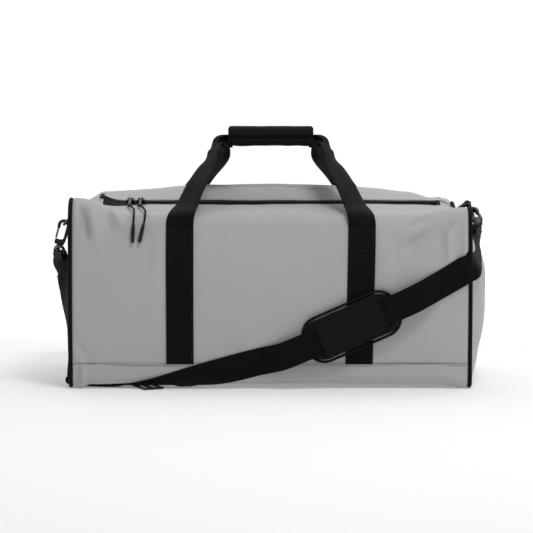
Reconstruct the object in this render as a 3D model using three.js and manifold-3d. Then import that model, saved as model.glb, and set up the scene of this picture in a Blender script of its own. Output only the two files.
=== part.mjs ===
// Soft travel duffel bag: grey panels on a rectangular base, a zipped mouth along the
// top, two webbing handles gathered in a padded grip, and a clipped shoulder strap.
// Millimetres. X runs along the bag, -Y is the front, +Z is up, and the origin is the
// middle of the base on the floor.
import * as THREE from 'three';
import { mergeVertices } from 'three/addons/utils/BufferGeometryUtils.js';
import Module from 'manifold-3d';

const wasm = await Module();
wasm.setup();

// ---------------------------------------------------------------- driving dimensions
const gap = 0.3; // air between pieces that touch
const bagLength = 559; // between the middles of the two pipings
const bagDepth = 300; // front face to rear face at the base seam
const fabric = 2; // coated fabric with its backing
const creaseHeight = 242; // front edge of the top, at mid length
const humpRise = 37; // crest of the top above the front edge
const seamHeight = 34; // where the base panel meets the front and rear
const edgeRadius = 12; // rounding of the base's long edges
const frontLift = 6; // how far the base's front edge stands off the floor
const endBulge = 33; // how far the end panels belly out
const pipingRadius = 2.8;

const webWidth = 38;
const webThick = 1.6;
const handleSpacing = 254; // between the middles of the two ends of each handle
const stitchTop = 227; // height where the handles leave the bag
const gripLength = 124;
const gripHeight = 29;
const gripDepth = webWidth + 8;
const gripMiddle = 352.5; // height of the grip's middle

const zipLine = -35; // the zip's place across the top
const zipHalf = 8; // half the zip's visible width
const zipReach = bagLength / 2 - 34.5; // half the mouth's length
const frontRoot = 58 - bagDepth / 2; // where the front flap of the mouth bends
const rearRoot = bagDepth / 2 - 75;
const tapeThick = 0.8;
const coilHeight = 2.4;
const stopLength = 4;
const sliderLength = 12;
const sliderWidth = 9;
const sliderHeight = 3;
const sliderPlaces = { left: -202, right: -187 };
const pullCord = 2.8;
const pullGrip = 5.4;
const pullGripLength = 25;

const boardThick = 3;
const boardMargin = 14;
const liningThick = 1;
const pocketLength = 300;
const pocketHeight = 130;

const wireRadius = 2; // D-ring wire
const ringHalfWidth = 22;
const ringDepth = 22;
const clipThick = 7;
const clipBar = 48; // from the D-ring's wire to the bar that holds the strap
const barRadius = 2.5;
const strapEdgeHeight = frontLift + edgeRadius; // where the face meets the base's rounding

const padLength = 142;
const padWidth = 68;
const padThick = 9;
const padCorner = 27;
const padPlace = 113; // the pad's middle, along the bag
const padTravel = 20;
const sleeveLength = 95;
const sleeveThick = 1.4;
const bindingRadius = 2;

const adjusterLength = 30;
const adjusterWidth = 48;
const adjusterThick = 2.6;

// ---------------------------------------------------------------- materials
function material(colour, roughness, metalness = 0) {
  return new THREE.MeshStandardMaterial({ color: colour, roughness, metalness });
}
const greyFabric = material(0xb0b0b0, 0.8);
const blackWebbing = material(0x141414, 0.75);
const blackTrim = material(0x0e0e0e, 0.6);
const blackPlastic = material(0x101010, 0.45);
const blackMetal = material(0x1c1c1c, 0.35, 0.9);
const paddedFabric = material(0x171717, 0.85);
const liningFabric = material(0x1d1d1f, 0.9);
const boardPlastic = material(0x3a3a3c, 0.7);

// ---------------------------------------------------------------- small tools
const half = bagLength / 2;
const lerp = THREE.MathUtils.lerp;
const smooth = (t, a, b) => {
  const s = THREE.MathUtils.clamp((t - a) / (b - a), 0, 1);
  return s * s * (3 - 2 * s);
};
const vec = (x, y, z) => new THREE.Vector3(x, y, z);
const spread = (a, b, n) => Array.from({ length: n + 1 }, (_, i) => lerp(a, b, i / n));

function bodyOf(points, triangles) {
  const geometry = new THREE.BufferGeometry();
  const places = points.flatMap((p) => p.toArray());
  geometry.setAttribute('position', new THREE.Float32BufferAttribute(places, 3));
  let volume = 0;
  for (const [a, b, c] of triangles) {
    volume += points[a].dot(points[b].clone().cross(points[c]));
  }
  geometry.setIndex(triangles.flatMap(([a, b, c]) => (volume < 0 ? [a, c, b] : [a, b, c])));
  geometry.computeVertexNormals();
  return geometry;
}

// Two triangles between loops that start at a and b. The two halves of a loop are split
// along parallel diagonals, so that a twisted strip keeps its thickness.
function facet(a, b, j, n) {
  const k = (j + 1) % n;
  if (j < n / 2) {
    return [[a + j, b + j, b + k], [a + j, b + k, a + k]];
  }
  return [[a + j, b + j, a + k], [b + j, b + k, a + k]];
}

// A solid through a row of closed loops, each with the same number of points. The row
// closes on itself, or its first and last loops are capped.
function sweep(loops, closed = false) {
  const n = loops[0].length;
  const points = loops.flat();
  const triangles = [];
  const rows = closed ? loops.length : loops.length - 1;
  for (let i = 0; i < rows; i++) {
    const a = i * n;
    const b = ((i + 1) % loops.length) * n;
    for (let j = 0; j < n; j++) {
      triangles.push(...facet(a, b, j, n));
    }
  }
  if (!closed) {
    const last = (loops.length - 1) * n;
    for (let j = 1; j < n - 1; j++) {
      triangles.push([0, j, j + 1], [last, last + j + 1, last + j]);
    }
  }
  return bodyOf(points, triangles);
}

// A solid between two grids of points that share a layout.
function between(outer, inner) {
  const rows = outer.length;
  const columns = outer[0].length;
  const loops = outer.map((row, i) => [...row, ...inner[i].slice().reverse()]);
  const n = 2 * columns;
  const points = loops.flat();
  const triangles = [];
  for (let i = 0; i < rows - 1; i++) {
    for (let j = 0; j < n; j++) {
      triangles.push(...facet(i * n, (i + 1) * n, j, n));
    }
  }
  const last = (rows - 1) * n;
  for (let j = 0; j < columns - 1; j++) {
    const opposite = n - 1 - j;
    triangles.push([j, j + 1, opposite], [j + 1, opposite - 1, opposite]);
    triangles.push([last + j, last + opposite, last + j + 1]);
    triangles.push([last + j + 1, last + opposite, last + opposite - 1]);
  }
  return bodyOf(points, triangles);
}

// The grid moved by a distance along its own normals, away from a point if positive.
function offset(grid, distance, middle) {
  const clamp = THREE.MathUtils.clamp;
  const at = (i, j) => grid[clamp(i, 0, grid.length - 1)][clamp(j, 0, grid[0].length - 1)];
  return grid.map((row, i) =>
    row.map((p, j) => {
      const along = at(i + 1, j).clone().sub(at(i - 1, j));
      const across = at(i, j + 1).clone().sub(at(i, j - 1));
      const normal = along.cross(across).normalize();
      const away = p.clone().sub(vec(p.x * middle.x, middle.y, middle.z));
      if (normal.dot(away) < 0) {
        normal.negate();
      }
      return p.clone().addScaledVector(normal, distance);
    })
  );
}
const bagMiddle = vec(0.8, 0, 120);

// A tube or a strip: at each point a section of half sizes a and b on two directions.
function ellipse(p, across, up, a, b, sides) {
  return spread(0, 2 * Math.PI, sides).slice(0, -1).map((angle) =>
    p.clone().addScaledVector(across, a * Math.cos(angle)).addScaledVector(up, b * Math.sin(angle))
  );
}
function rectangle(p, across, up, a, b) {
  return [[-a, -b], [a, -b], [a, b], [-a, b]].map(([s, t]) =>
    p.clone().addScaledVector(across, s).addScaledVector(up, t)
  );
}
function tube(curve, radius, steps, sides = 8) {
  const frames = curve.computeFrenetFrames(steps, false);
  return sweep(spread(0, 1, steps).map((t, i) =>
    ellipse(curve.getPointAt(t), frames.normals[i], frames.binormals[i], radius, radius, sides)
  ));
}

// A strip of webbing along points, whose width lies along the given directions.
function ribbon(points, widths, thick = webThick, wide = webWidth) {
  return sweep(points.map((p, i) => {
    const before = points[Math.max(i - 1, 0)];
    const after = points[Math.min(i + 1, points.length - 1)];
    const along = after.clone().sub(before).normalize();
    const across = widths[i].clone().addScaledVector(along, -widths[i].dot(along)).normalize();
    const up = along.clone().cross(across);
    return rectangle(p, across, up, wide / 2, thick / 2);
  }));
}
function ramp(directions, t) {
  const at = t * (directions.length - 1);
  const i = Math.min(Math.floor(at), directions.length - 2);
  return directions[i].clone().lerp(directions[i + 1], at - i).normalize();
}

function solid(geometry) {
  const bare = geometry.clone();
  bare.deleteAttribute('normal');
  bare.deleteAttribute('uv');
  const merged = mergeVertices(bare, 1e-4);
  return new wasm.Manifold(new wasm.Mesh({
    numProp: 3,
    vertProperties: merged.attributes.position.array,
    triVerts: new Uint32Array(merged.index.array),
  }));
}
function geometryOf(manifold) {
  const mesh = manifold.getMesh();
  const geometry = new THREE.BufferGeometry();
  geometry.setAttribute('position', new THREE.BufferAttribute(mesh.vertProperties, 3));
  geometry.setIndex(new THREE.BufferAttribute(mesh.triVerts, 1));
  geometry.computeVertexNormals();
  return geometry;
}
function block(x0, x1, y0, y1, z0, z1) {
  const geometry = new THREE.BoxGeometry(x1 - x0, y1 - y0, z1 - z0);
  return geometry.translate((x0 + x1) / 2, (y0 + y1) / 2, (z0 + z1) / 2);
}
function extruded(shape, depth, segments = 6) {
  return new THREE.ExtrudeGeometry(shape, { depth, bevelEnabled: false, curveSegments: segments });
}

const bag = new THREE.Group();
function add(name, geometry, look, group = bag) {
  const mesh = new THREE.Mesh(geometry, look);
  mesh.name = name;
  group.add(mesh);
  return mesh;
}

// ---------------------------------------------------------------- the bag's outside
// Height of the base's underside: the front edge stands off the floor, over the strap
// that passes under its left half, and the corners come down to the floor.
function lift(x, y) {
  const reach = lerp(-78, -48, smooth(-x, 130, 240));
  const front = 1 - smooth(y, reach - 20, reach);
  const rightCorner = smooth(x, half - 39.5, half - 11.5);
  const leftCorner = smooth(-x, half - 27.5, half - 11.5) * smooth(-y, bagDepth / 2 - 19, bagDepth / 2 - 12);
  return frontLift * front * (1 - rightCorner) * (1 - leftCorner);
}

function basePath(x) {
  const face = bagDepth / 2;
  const bottom = face - edgeRadius;
  const corner = (side, i, n) => {
    const angle = ((i / n) * Math.PI) / 2;
    const y = side * (bottom + edgeRadius * Math.cos(angle));
    return [y, lift(x, side * bottom) + edgeRadius * (1 - Math.sin(angle))];
  };
  const path = [[-face, seamHeight - gap / 2]];
  for (let i = 0; i < 4; i++) {
    path.push(corner(-1, i, 4));
  }
  for (const y of [-bottom, -130, -122, -92, -76, -62, -44, 0, bottom]) {
    path.push([y, lift(x, y)]);
  }
  for (let i = 3; i >= 0; i--) {
    path.push(corner(1, i, 4));
  }
  path.push([face, seamHeight - gap / 2]);
  return path;
}

const zipHeight = creaseHeight + 14.6;

// The ends of the top sag between raised corners, and the crest fades towards them.
function endsOf(x) {
  return {
    leftCrease: smooth(-x, half - 89.5, half),
    rightCrease: smooth(x, half - 74.5, half),
    leftSag: smooth(-x, half - 33.5, half),
    rightSag: smooth(x, half - 32.5, half),
    crest: 1 - 0.42 * smooth(Math.abs(x + 8), 60, zipReach),
  };
}

function frontPath(x) {
  const face = bagDepth / 2;
  const e = endsOf(x);
  const crease = creaseHeight + 21 * e.leftCrease + 10 * e.rightCrease;
  const top = (y, z) => {
    const left = lerp(z, creaseHeight + 10 + (zipLine - y) * 0.07, e.leftSag);
    return [y, lerp(left, creaseHeight - 1 + (zipLine - y) * 0.09, e.rightSag)];
  };
  return [
    [-face, seamHeight + gap / 2],
    [-face - 2, 75],
    [-face - 2.5, 125],
    [-face, 175],
    [-face + 4.5, crease - 30],
    [-face + 10, crease - 10],
    [-face + 19, crease],
    [-face + 34, crease + 2.5 + e.leftSag - 1.5 * e.rightSag],
    top(frontRoot, creaseHeight + 6),
    top(-65, creaseHeight + 9),
    top(zipLine - zipHalf, zipHeight - 3),
    top(zipLine - gap / 2, zipHeight),
  ];
}

function rearPath(x) {
  const face = bagDepth / 2;
  const e = endsOf(x);
  const crest = (share) => lerp(zipHeight, creaseHeight + humpRise, share * e.crest);
  const top = (y, z, left, right) => [
    y,
    lerp(lerp(z, left, e.leftSag), right, e.rightSag),
  ];
  return [
    top(zipLine + gap / 2, zipHeight, creaseHeight + 10, creaseHeight - 1),
    top(zipLine + zipHalf, zipHeight + 1.5 * (1 + e.crest), creaseHeight + 10, creaseHeight - 1.5),
    top(-10, crest(0.44), creaseHeight + 9.6, creaseHeight - 2),
    top(8, crest(0.73), creaseHeight + 9.2, creaseHeight - 2),
    top(30, crest(0.96), creaseHeight + 9, creaseHeight - 1.6),
    top(50, crest(0.99), creaseHeight + 8.8, creaseHeight - 1),
    top(rearRoot, crest(0.78), creaseHeight + 8.6, creaseHeight + 1),
    top(100, crest(0.38), creaseHeight + 8.6, creaseHeight + 5),
    top(122, crest(-0.05), creaseHeight + 9, creaseHeight + 10),
    top(136, crest(-0.48), creaseHeight + 5, creaseHeight + 9),
    [face - 6, creaseHeight - 10],
    [face - 1, creaseHeight - 30],
    [face, 175],
    [face + 2.5, 125],
    [face + 2, 75],
    [face, seamHeight + gap / 2],
  ];
}

function curveAt(x, path, steps) {
  const curve = new THREE.CatmullRomCurve3(path.map(([y, z]) => vec(x, y, z)), false, 'centripetal');
  return curve.getPoints(steps);
}
function crossing(points, key, value) {
  for (let i = 1; i < points.length; i++) {
    const a = points[i - 1];
    const b = points[i];
    if ((a[key] - value) * (b[key] - value) <= 0 && a[key] !== b[key]) {
      return a.clone().lerp(b, (value - a[key]) / (b[key] - a[key]));
    }
  }
  throw new Error(`no point of the outline has ${key} ${value}`);
}
function topZ(x, y) {
  const whole = [...curveAt(x, frontPath(x), 60), ...curveAt(x, rearPath(x), 60)];
  return crossing(whole.filter((p) => p.z > seamHeight + creaseHeight / 2), 'y', y).z;
}
function faceY(x, z, side) {
  const points = curveAt(x, side < 0 ? frontPath(x) : rearPath(x).reverse(), 60);
  return crossing(points, 'z', z).y;
}

const panelEnd = half - pipingRadius - gap;
const stations = spread(-1, 1, 18).map((s) => panelEnd * Math.sin((s * Math.PI) / 2));
function panel(path, steps) {
  const outer = stations.map((x) => {
    const points = path(x);
    return steps ? curveAt(x, points, steps) : points.map(([y, z]) => vec(x, y, z));
  });
  return between(outer, offset(outer, -fabric, bagMiddle));
}

const frontSkin = solid(panel(frontPath, 16));
const rearSkin = solid(panel(rearPath, 18));
const flapGap = 0.4;
const high = creaseHeight + 80; // above all of the top
const low = creaseHeight - 42; // under all of the top
const pastZip = zipHalf + 1;
const frontMouth = solid(block(-zipReach, zipReach, frontRoot, zipLine + pastZip, low, high));
const rearMouth = solid(block(-zipReach, zipReach, zipLine - pastZip, rearRoot, low, high));
const flapReach = zipReach - flapGap;
const frontFlap = solid(block(-flapReach, flapReach, frontRoot + flapGap, zipLine - zipHalf, low, high));
const rearFlap = solid(block(-flapReach, flapReach, zipLine + zipHalf, rearRoot - flapGap, low, high));

add('front_panel', geometryOf(frontSkin.subtract(frontMouth)), greyFabric);
add('rear_panel', geometryOf(rearSkin.subtract(rearMouth)), greyFabric);
add('mouth_flap_front', geometryOf(frontSkin.intersect(frontFlap)), greyFabric);
add('mouth_flap_rear', geometryOf(rearSkin.intersect(rearFlap)), greyFabric);
add('base_panel', panel(basePath, 0), greyFabric);

// ---------------------------------------------------------------- ends and pipings
// The outline of an end, moved in by a distance.
function endOutline(x, inset) {
  const front = curveAt(x, frontPath(x), 12);
  const rear = curveAt(x, rearPath(x), 15).slice(1);
  const base = basePath(x).map(([y, z]) => vec(x, y, z)).reverse().slice(1, -1);
  const whole = [...front, ...rear, ...base];
  return whole.map((p, i) => {
    const before = whole[(i + whole.length - 1) % whole.length];
    const after = whole[(i + 1) % whole.length];
    const along = after.clone().sub(before);
    const inward = vec(0, along.z, -along.y).normalize();
    return p.clone().addScaledVector(inward, inset);
  });
}

// How far an end panel bellies out. The left one, under its strap, is flatter.
function bulge(side, y, z) {
  const across = Math.max(1 - (y / (bagDepth / 2 + 3)) ** 2, 0) ** 0.75;
  const v = THREE.MathUtils.clamp(z / creaseHeight, 0, 1);
  const full = side > 0
    ? 0.55 + 0.45 * smooth(v, 0, 0.45)
    : 0.1 + 0.66 * smooth(v, 0, 0.7);
  const fade = side > 0 ? 0.6 : 0.66;
  return endBulge * across * full * (1 - smooth(v, fade, 1) ** 1.5);
}

for (const side of [-1, 1]) {
  const name = side < 0 ? 'left' : 'right';
  const ring = endOutline(side * half, pipingRadius);
  const count = ring.length;
  add(`piping_${name}`, sweep(ring.map((p, i) => {
    const along = ring[(i + 1) % count].clone().sub(ring[(i + count - 1) % count]).normalize();
    const inward = vec(0, along.z, -along.y);
    return ellipse(p, inward, vec(1, 0, 0), pipingRadius, pipingRadius, 6);
  }), true), blackTrim);

  const rim = endOutline(side * half, 2 * pipingRadius + 3 * gap);
  const middle = vec(side * half, 0, creaseHeight / 2);
  const shares = [0.08, 0.4, 0.7, 0.9, 1];
  const dome = (share, thick) => rim.map((p) => {
    const q = middle.clone().lerp(p, share);
    q.x += side * (bulge(side, q.y, q.z) * (1 - share ** 8) + 1 - thick);
    return q;
  });
  const outside = shares.map((share) => dome(share, 0));
  const inside = shares.slice().reverse().map((share) => dome(share, fabric));
  add(`end_panel_${name}`, sweep([...outside, ...inside]), greyFabric);
}

// ---------------------------------------------------------------- inside
const boardBottom = frontLift + fabric + gap;
const board = new THREE.Shape();
const boardX = panelEnd - boardMargin;
const boardY = bagDepth / 2 - boardMargin;
board.moveTo(-boardX, -boardY).lineTo(boardX, -boardY).lineTo(boardX, boardY).lineTo(-boardX, boardY);
add('base_board', extruded(board, boardThick).translate(0, 0, boardBottom), boardPlastic);

const liningBottom = boardBottom + boardThick + gap;
const liningX = panelEnd - 4;
function liningPath(x) {
  const inset = fabric + gap + 0.5;
  const face = bagDepth / 2 - inset;
  const height = creaseHeight - 18;
  return [
    [-face + 8, height],
    [-face + 2, height - 30],
    [-face, 150],
    [-face, 60],
    [-face + 1, liningBottom + 18],
    [-face + 8, liningBottom + 5],
    [-face + 18, liningBottom],
    [0, liningBottom],
    [face - 18, liningBottom],
    [face - 8, liningBottom + 5],
    [face - 1, liningBottom + 18],
    [face, 60],
    [face, 150],
    [face - 2, height - 30],
    [face - 8, height],
  ].map(([y, z]) => vec(x, y, z));
}
const liningRows = spread(-liningX, liningX, 6).map(liningPath);
add('lining', between(liningRows, offset(liningRows, -liningThick, bagMiddle)), liningFabric);
for (const side of [-1, 1]) {
  const loop = liningPath(side * (liningX + gap));
  const outer = loop.map((p) => p.clone());
  const inner = loop.map((p) => p.clone().add(vec(side * liningThick, 0, 0)));
  add(`lining_end_${side < 0 ? 'left' : 'right'}`, sweep([outer, inner]), liningFabric);
}

const pocketY = bagDepth / 2 - fabric - gap - 0.5 - liningThick;
const pocketRows = spread(-1, 1, 10).map((u) =>
  spread(0, 1, 6).map((v) => {
    const slack = 6 * (1 - u ** 4) * smooth(v, 0, 0.3);
    return vec((u * pocketLength) / 2, pocketY - 3 - slack, 60 + v * pocketHeight);
  })
);
add('mesh_pocket', between(pocketRows, offset(pocketRows, -0.6, vec(0, 0, 120))), liningFabric);

// ---------------------------------------------------------------- the zip
const zipEnd = zipReach - flapGap - stopLength - gap;
const zipStations = spread(-zipEnd, zipEnd, 16);
function zipStrip(y0, y1, over, thick) {
  const rows = zipStations.map((x) => [y0, y1].map((y) => vec(x, y, topZ(x, y) + over)));
  const under = rows.map((row) => row.map((p) => p.clone().add(vec(0, 0, -thick))));
  return between(rows, under);
}
const coilHalf = 1.9;
const coilOver = 0.4;
for (const side of [-1, 1]) {
  const name = side < 0 ? 'front' : 'rear';
  const edge = zipLine + side * (zipHalf - gap);
  const inner = zipLine + side * coilHalf;
  add(`zip_tape_${name}`, zipStrip(edge, inner + side * gap, -0.4, tapeThick), blackTrim);
  add(`zip_coil_${name}`, zipStrip(inner, zipLine + (side * gap) / 2, coilOver, coilHeight), blackPlastic);
}
for (const side of [-1, 1]) {
  const inner = zipReach - flapGap - stopLength;
  const rows = spread(side * inner, side * (inner + stopLength), 1).map((x) =>
    spread(zipLine - zipHalf + gap, zipLine + zipHalf - gap, 2).map((y) => vec(x, y, topZ(x, y) + 0.4))
  );
  const under = rows.map((row) => row.map((p) => p.clone().add(vec(0, 0, -3))));
  add(`zip_stop_${side < 0 ? 'left' : 'right'}`, between(rows, under), blackTrim);
}

// Each slider rides over the coil, and its pull drapes forward over the bag's front edge.
const zipSlope = Math.atan2(topZ(0, zipLine + zipHalf) - topZ(0, zipLine - zipHalf), 2 * zipHalf);
const sliderClear = 0.5;
const tabLength = 5;
const ringRadius = 3.1;
const ringWire = 0.9;
const ringTilt = 0.9;
const pullEnds = { left: [12, -1.5], right: [12.5, -7.5] };
for (const name of ['left', 'right']) {
  const x = sliderPlaces[name];
  const seat = vec(x, zipLine, topZ(x, zipLine) + coilOver + sliderClear);
  const slider = new THREE.Group();
  slider.position.copy(seat);
  slider.rotation.x = zipSlope;
  bag.add(slider);
  const alongHalf = sliderLength / 2;
  const acrossHalf = sliderWidth / 2;
  const tabEnd = -acrossHalf - tabLength;
  const tabLow = sliderHeight + 1.2;
  const plate = solid(block(-alongHalf, alongHalf, -acrossHalf, acrossHalf, 0, sliderHeight));
  const bridge = solid(block(-3, 3, -1.2, 1.2, sliderHeight - 0.5, sliderHeight + 2.4));
  const tab = solid(block(-1.5, 1.5, tabEnd, 0, tabLow, tabLow + 1));
  add(`zip_slider_${name}`, geometryOf(plate.add(bridge).add(tab)), blackMetal, slider);

  const ringAt = vec(x, zipLine + tabEnd - ringRadius - ringWire - gap, seat.z + 3.2);
  const ringPoints = spread(0, 2 * Math.PI, 16).slice(0, -1).map((angle) => vec(
    ringAt.x + ringRadius * Math.cos(angle),
    ringAt.y + ringRadius * Math.sin(angle) * Math.cos(ringTilt),
    ringAt.z + ringRadius * Math.sin(angle) * Math.sin(ringTilt)
  ));
  const ringFlat = vec(0, -Math.sin(ringTilt), Math.cos(ringTilt));
  add(`pull_ring_${name}`, sweep(ringPoints.map((p) =>
    ellipse(p, p.clone().sub(ringAt).normalize(), ringFlat, ringWire, ringWire, 6)
  ), true), blackMetal);

  const [swing, hang] = pullEnds[name];
  const faceAt = (z) => faceY(x, z, -1) - pullGrip / 2 - gap;
  const crease = -bagDepth / 2 + 19;
  const rest = (y, up) => vec(x + swing * smooth(-y, 50, 140), y, topZ(x, y) + up);
  const start = ringAt.y - ringRadius * Math.cos(ringTilt) - ringWire - gap - pullCord / 2;
  const cordPath = new THREE.CatmullRomCurve3([
    vec(x, start, ringAt.z - ringRadius * Math.sin(ringTilt) + 0.6),
    rest(-70, 2.8),
    rest(-95, 2.6),
    rest(-115, 2.6),
    rest(crease + 4, 3.4),
    vec(x + swing, crease - 8, topZ(x, crease) - 1),
    vec(x + swing + 0.2 * hang, faceAt(creaseHeight - 12) - 1, creaseHeight - 12),
  ]);
  add(`pull_cord_${name}`, tube(cordPath, pullCord / 2, 22), blackTrim);
  const gripHigh = creaseHeight - 12.6;
  const gripLow = gripHigh - pullGripLength;
  const gripTop = vec(x + swing + 0.3 * hang, faceAt(gripHigh) - 1, gripHigh);
  const gripEnd = vec(x + swing + hang, faceAt(gripLow), gripLow);
  const gripLoops = [[0, 0.55], [0.12, 0.9], [0.5, 1], [0.88, 0.9], [1, 0.5]].map(([t, share]) => {
    const centre = gripTop.clone().lerp(gripEnd, t);
    const width = (pullGrip / 2) * share;
    return ellipse(centre, vec(1, 0, 0), vec(0, 1, 0), width, width / 1.3, 8);
  });
  add(`pull_grip_${name}`, sweep(gripLoops), blackPlastic);
}

// ---------------------------------------------------------------- the handles
const gripMiddleX = 1;
const layerStep = webThick + gap;
const sewnGap = 0.9; // between a sewn webbing and the curved panel under it
const topFace = { front: layerStep / 2, rear: -layerStep / 2 };
for (const [row, side] of [['front', -1], ['rear', 1]]) {
  for (const [name, way] of [['left', -1], ['right', 1]]) {
    const lean = name === 'right' ? 4 : 0;
    const middleAt = (z) => {
      const down = (stitchTop - z) / (stitchTop - seamHeight);
      return gripMiddleX + (way * handleSpacing) / 2 - lean * down;
    };
    const base = spread(seamHeight + 2 * gap, stitchTop, 10).map((z) =>
      [-1, 0, 1].map((s) => {
        const x = middleAt(z) + (s * webWidth) / 2;
        return vec(x, faceY(x, z, side) + side * sewnGap, z);
      })
    );
    const outer = base.map((points) => points.map((p) => p.clone().add(vec(0, side * webThick, 0))));
    add(`handle_base_${row}_${name}`, between(outer, base), blackWebbing);

    const foot = middleAt(stitchTop);
    const footY = faceY(foot, stitchTop, side) + side * (sewnGap + webThick / 2);
    const start = vec(foot, footY, stitchTop + 2 * gap);
    const end = vec(gripMiddleX + way * (gripLength / 2 + 2 * gap), 0, gripMiddle + topFace[row]);
    const reachOver = gripLength / 2 - 62; // how much longer than usual half the grip is
    const route = row === 'front'
      ? [[117.5, 112, 258], [107, 80, 283], [86, 16, 325], [80, 3, 341], [72, 0.5, end.z - 0.3]]
      : [[118, 119, 267], [103, 86, 289], [73, 17, 325], [69.5, 3, 338], [68.3, 0.5, end.z - 4]];
    const shares = [0.2, 0.4, 0.8, 0.95, 1]; // how far each point of the route follows the grip's end
    const path = new THREE.CatmullRomCurve3([
      start,
      start.clone().add(vec(0, 0, 4)),
      start.clone().add(vec(-way * 2, -side * 4, 16)),
      ...route.map(([x, y, z], i) => vec(gripMiddleX + way * (x + reachOver * shares[i]), side * y, z)),
      end.clone().add(vec(way * 2, 0, 0)),
      end,
    ], false, 'centripetal');
    const turned = row === 'front'
      ? [0, 0, 12, 40, 52, 80, 86, 90, 90, 90]
      : [0, 0, 6, 18, 34, 76, 84, 90, 90, 90];
    const widths = turned.map((degrees) => {
      const angle = THREE.MathUtils.degToRad(degrees);
      return vec(-way * Math.cos(angle), side * Math.sin(angle), 0);
    });
    const steps = 24;
    const line = spread(0, 1, steps).map((t) => path.getPoint(t));
    const riser = ribbon(line, spread(0, 1, steps).map((t) => ramp(widths, t)));
    add(`handle_riser_${row}_${name}`, riser, blackWebbing);
  }
  const top = block(-gripLength / 2, gripLength / 2, -webWidth / 2, webWidth / 2, 0, webThick);
  top.translate(gripMiddleX, 0, gripMiddle + topFace[row] - webThick / 2);
  add(`handle_top_${row}`, top, blackWebbing);
}

const wrap = new THREE.Shape();
wrap.absellipse(0, 0, gripDepth / 2, gripHeight / 2, 0, 2 * Math.PI);
const slot = new THREE.Path();
const slotY = webWidth / 2 + gap;
const slotZ = layerStep / 2 + webThick / 2 + gap;
slot.moveTo(-slotY, -slotZ).lineTo(-slotY, slotZ).lineTo(slotY, slotZ).lineTo(slotY, -slotZ);
slot.closePath();
wrap.holes.push(slot);
const wrapMesh = add('grip_wrap', extruded(wrap, gripLength, 14), paddedFabric);
const alongBag = new THREE.Matrix4().makeBasis(vec(0, 1, 0), vec(0, 0, 1), vec(1, 0, 0));
wrapMesh.quaternion.setFromRotationMatrix(alongBag);
wrapMesh.position.set(gripMiddleX - gripLength / 2, 0, gripMiddle);

// ---------------------------------------------------------------- D-rings and clips
const ends = {
  left: {
    way: -1,
    bar: vec(-half - 7.5, 0, creaseHeight - 4),
    seam: vec(-half - 4.5, 0, creaseHeight + 3.5),
    depth: vec(-1, 0, -1).normalize(),
    hookAngle: Math.PI / 2,
    toward: vec(-0.25708, 0, -0.96639),
  },
  right: {
    way: 1,
    bar: vec(half + 10.5, 0, creaseHeight + 12),
    seam: vec(half - 6, 0, creaseHeight + 1.8),
    depth: vec(0.4, 0, -0.917).normalize(),
    hookAngle: 2.56,
    toward: vec(0.2, -0.87, -0.45).normalize(),
  },
};
const tabHalf = ringHalfWidth - wireRadius - 4.5;

function hookShape() {
  const shape = new THREE.Shape();
  shape.moveTo(-6.5, -30).lineTo(6.5, -30).lineTo(8, -24).lineTo(9, -12).lineTo(9, -1);
  shape.absarc(0, -1, 9, 0, Math.PI, false);
  shape.lineTo(-8.3, -7).lineTo(-4.4, -7).lineTo(-4.4, -1);
  shape.absarc(0, -1, 4.4, Math.PI, 0, true);
  shape.lineTo(4.4, -17.9);
  shape.absarc(0, -17.9, 4.4, 0, -Math.PI / 2, true);
  shape.lineTo(-7.2, -22.3).lineTo(-7.6, -26).lineTo(-6.5, -30);
  return shape;
}
function gateShape() {
  const shape = new THREE.Shape();
  shape.moveTo(-7.8, -21.4).lineTo(-5.4, -21.4).lineTo(-5.4, -7.4).lineTo(-7.8, -7.4).lineTo(-7.8, -21.4);
  return shape;
}
// An outline drawn in x and z, made thick along y.
function upright(shape, thick, segments = 6) {
  return extruded(shape, thick, segments).rotateX(Math.PI / 2).translate(0, thick / 2, 0);
}
function rod(radius, length, sides = 12) {
  return new THREE.CylinderGeometry(radius, radius, length, sides);
}

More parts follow.
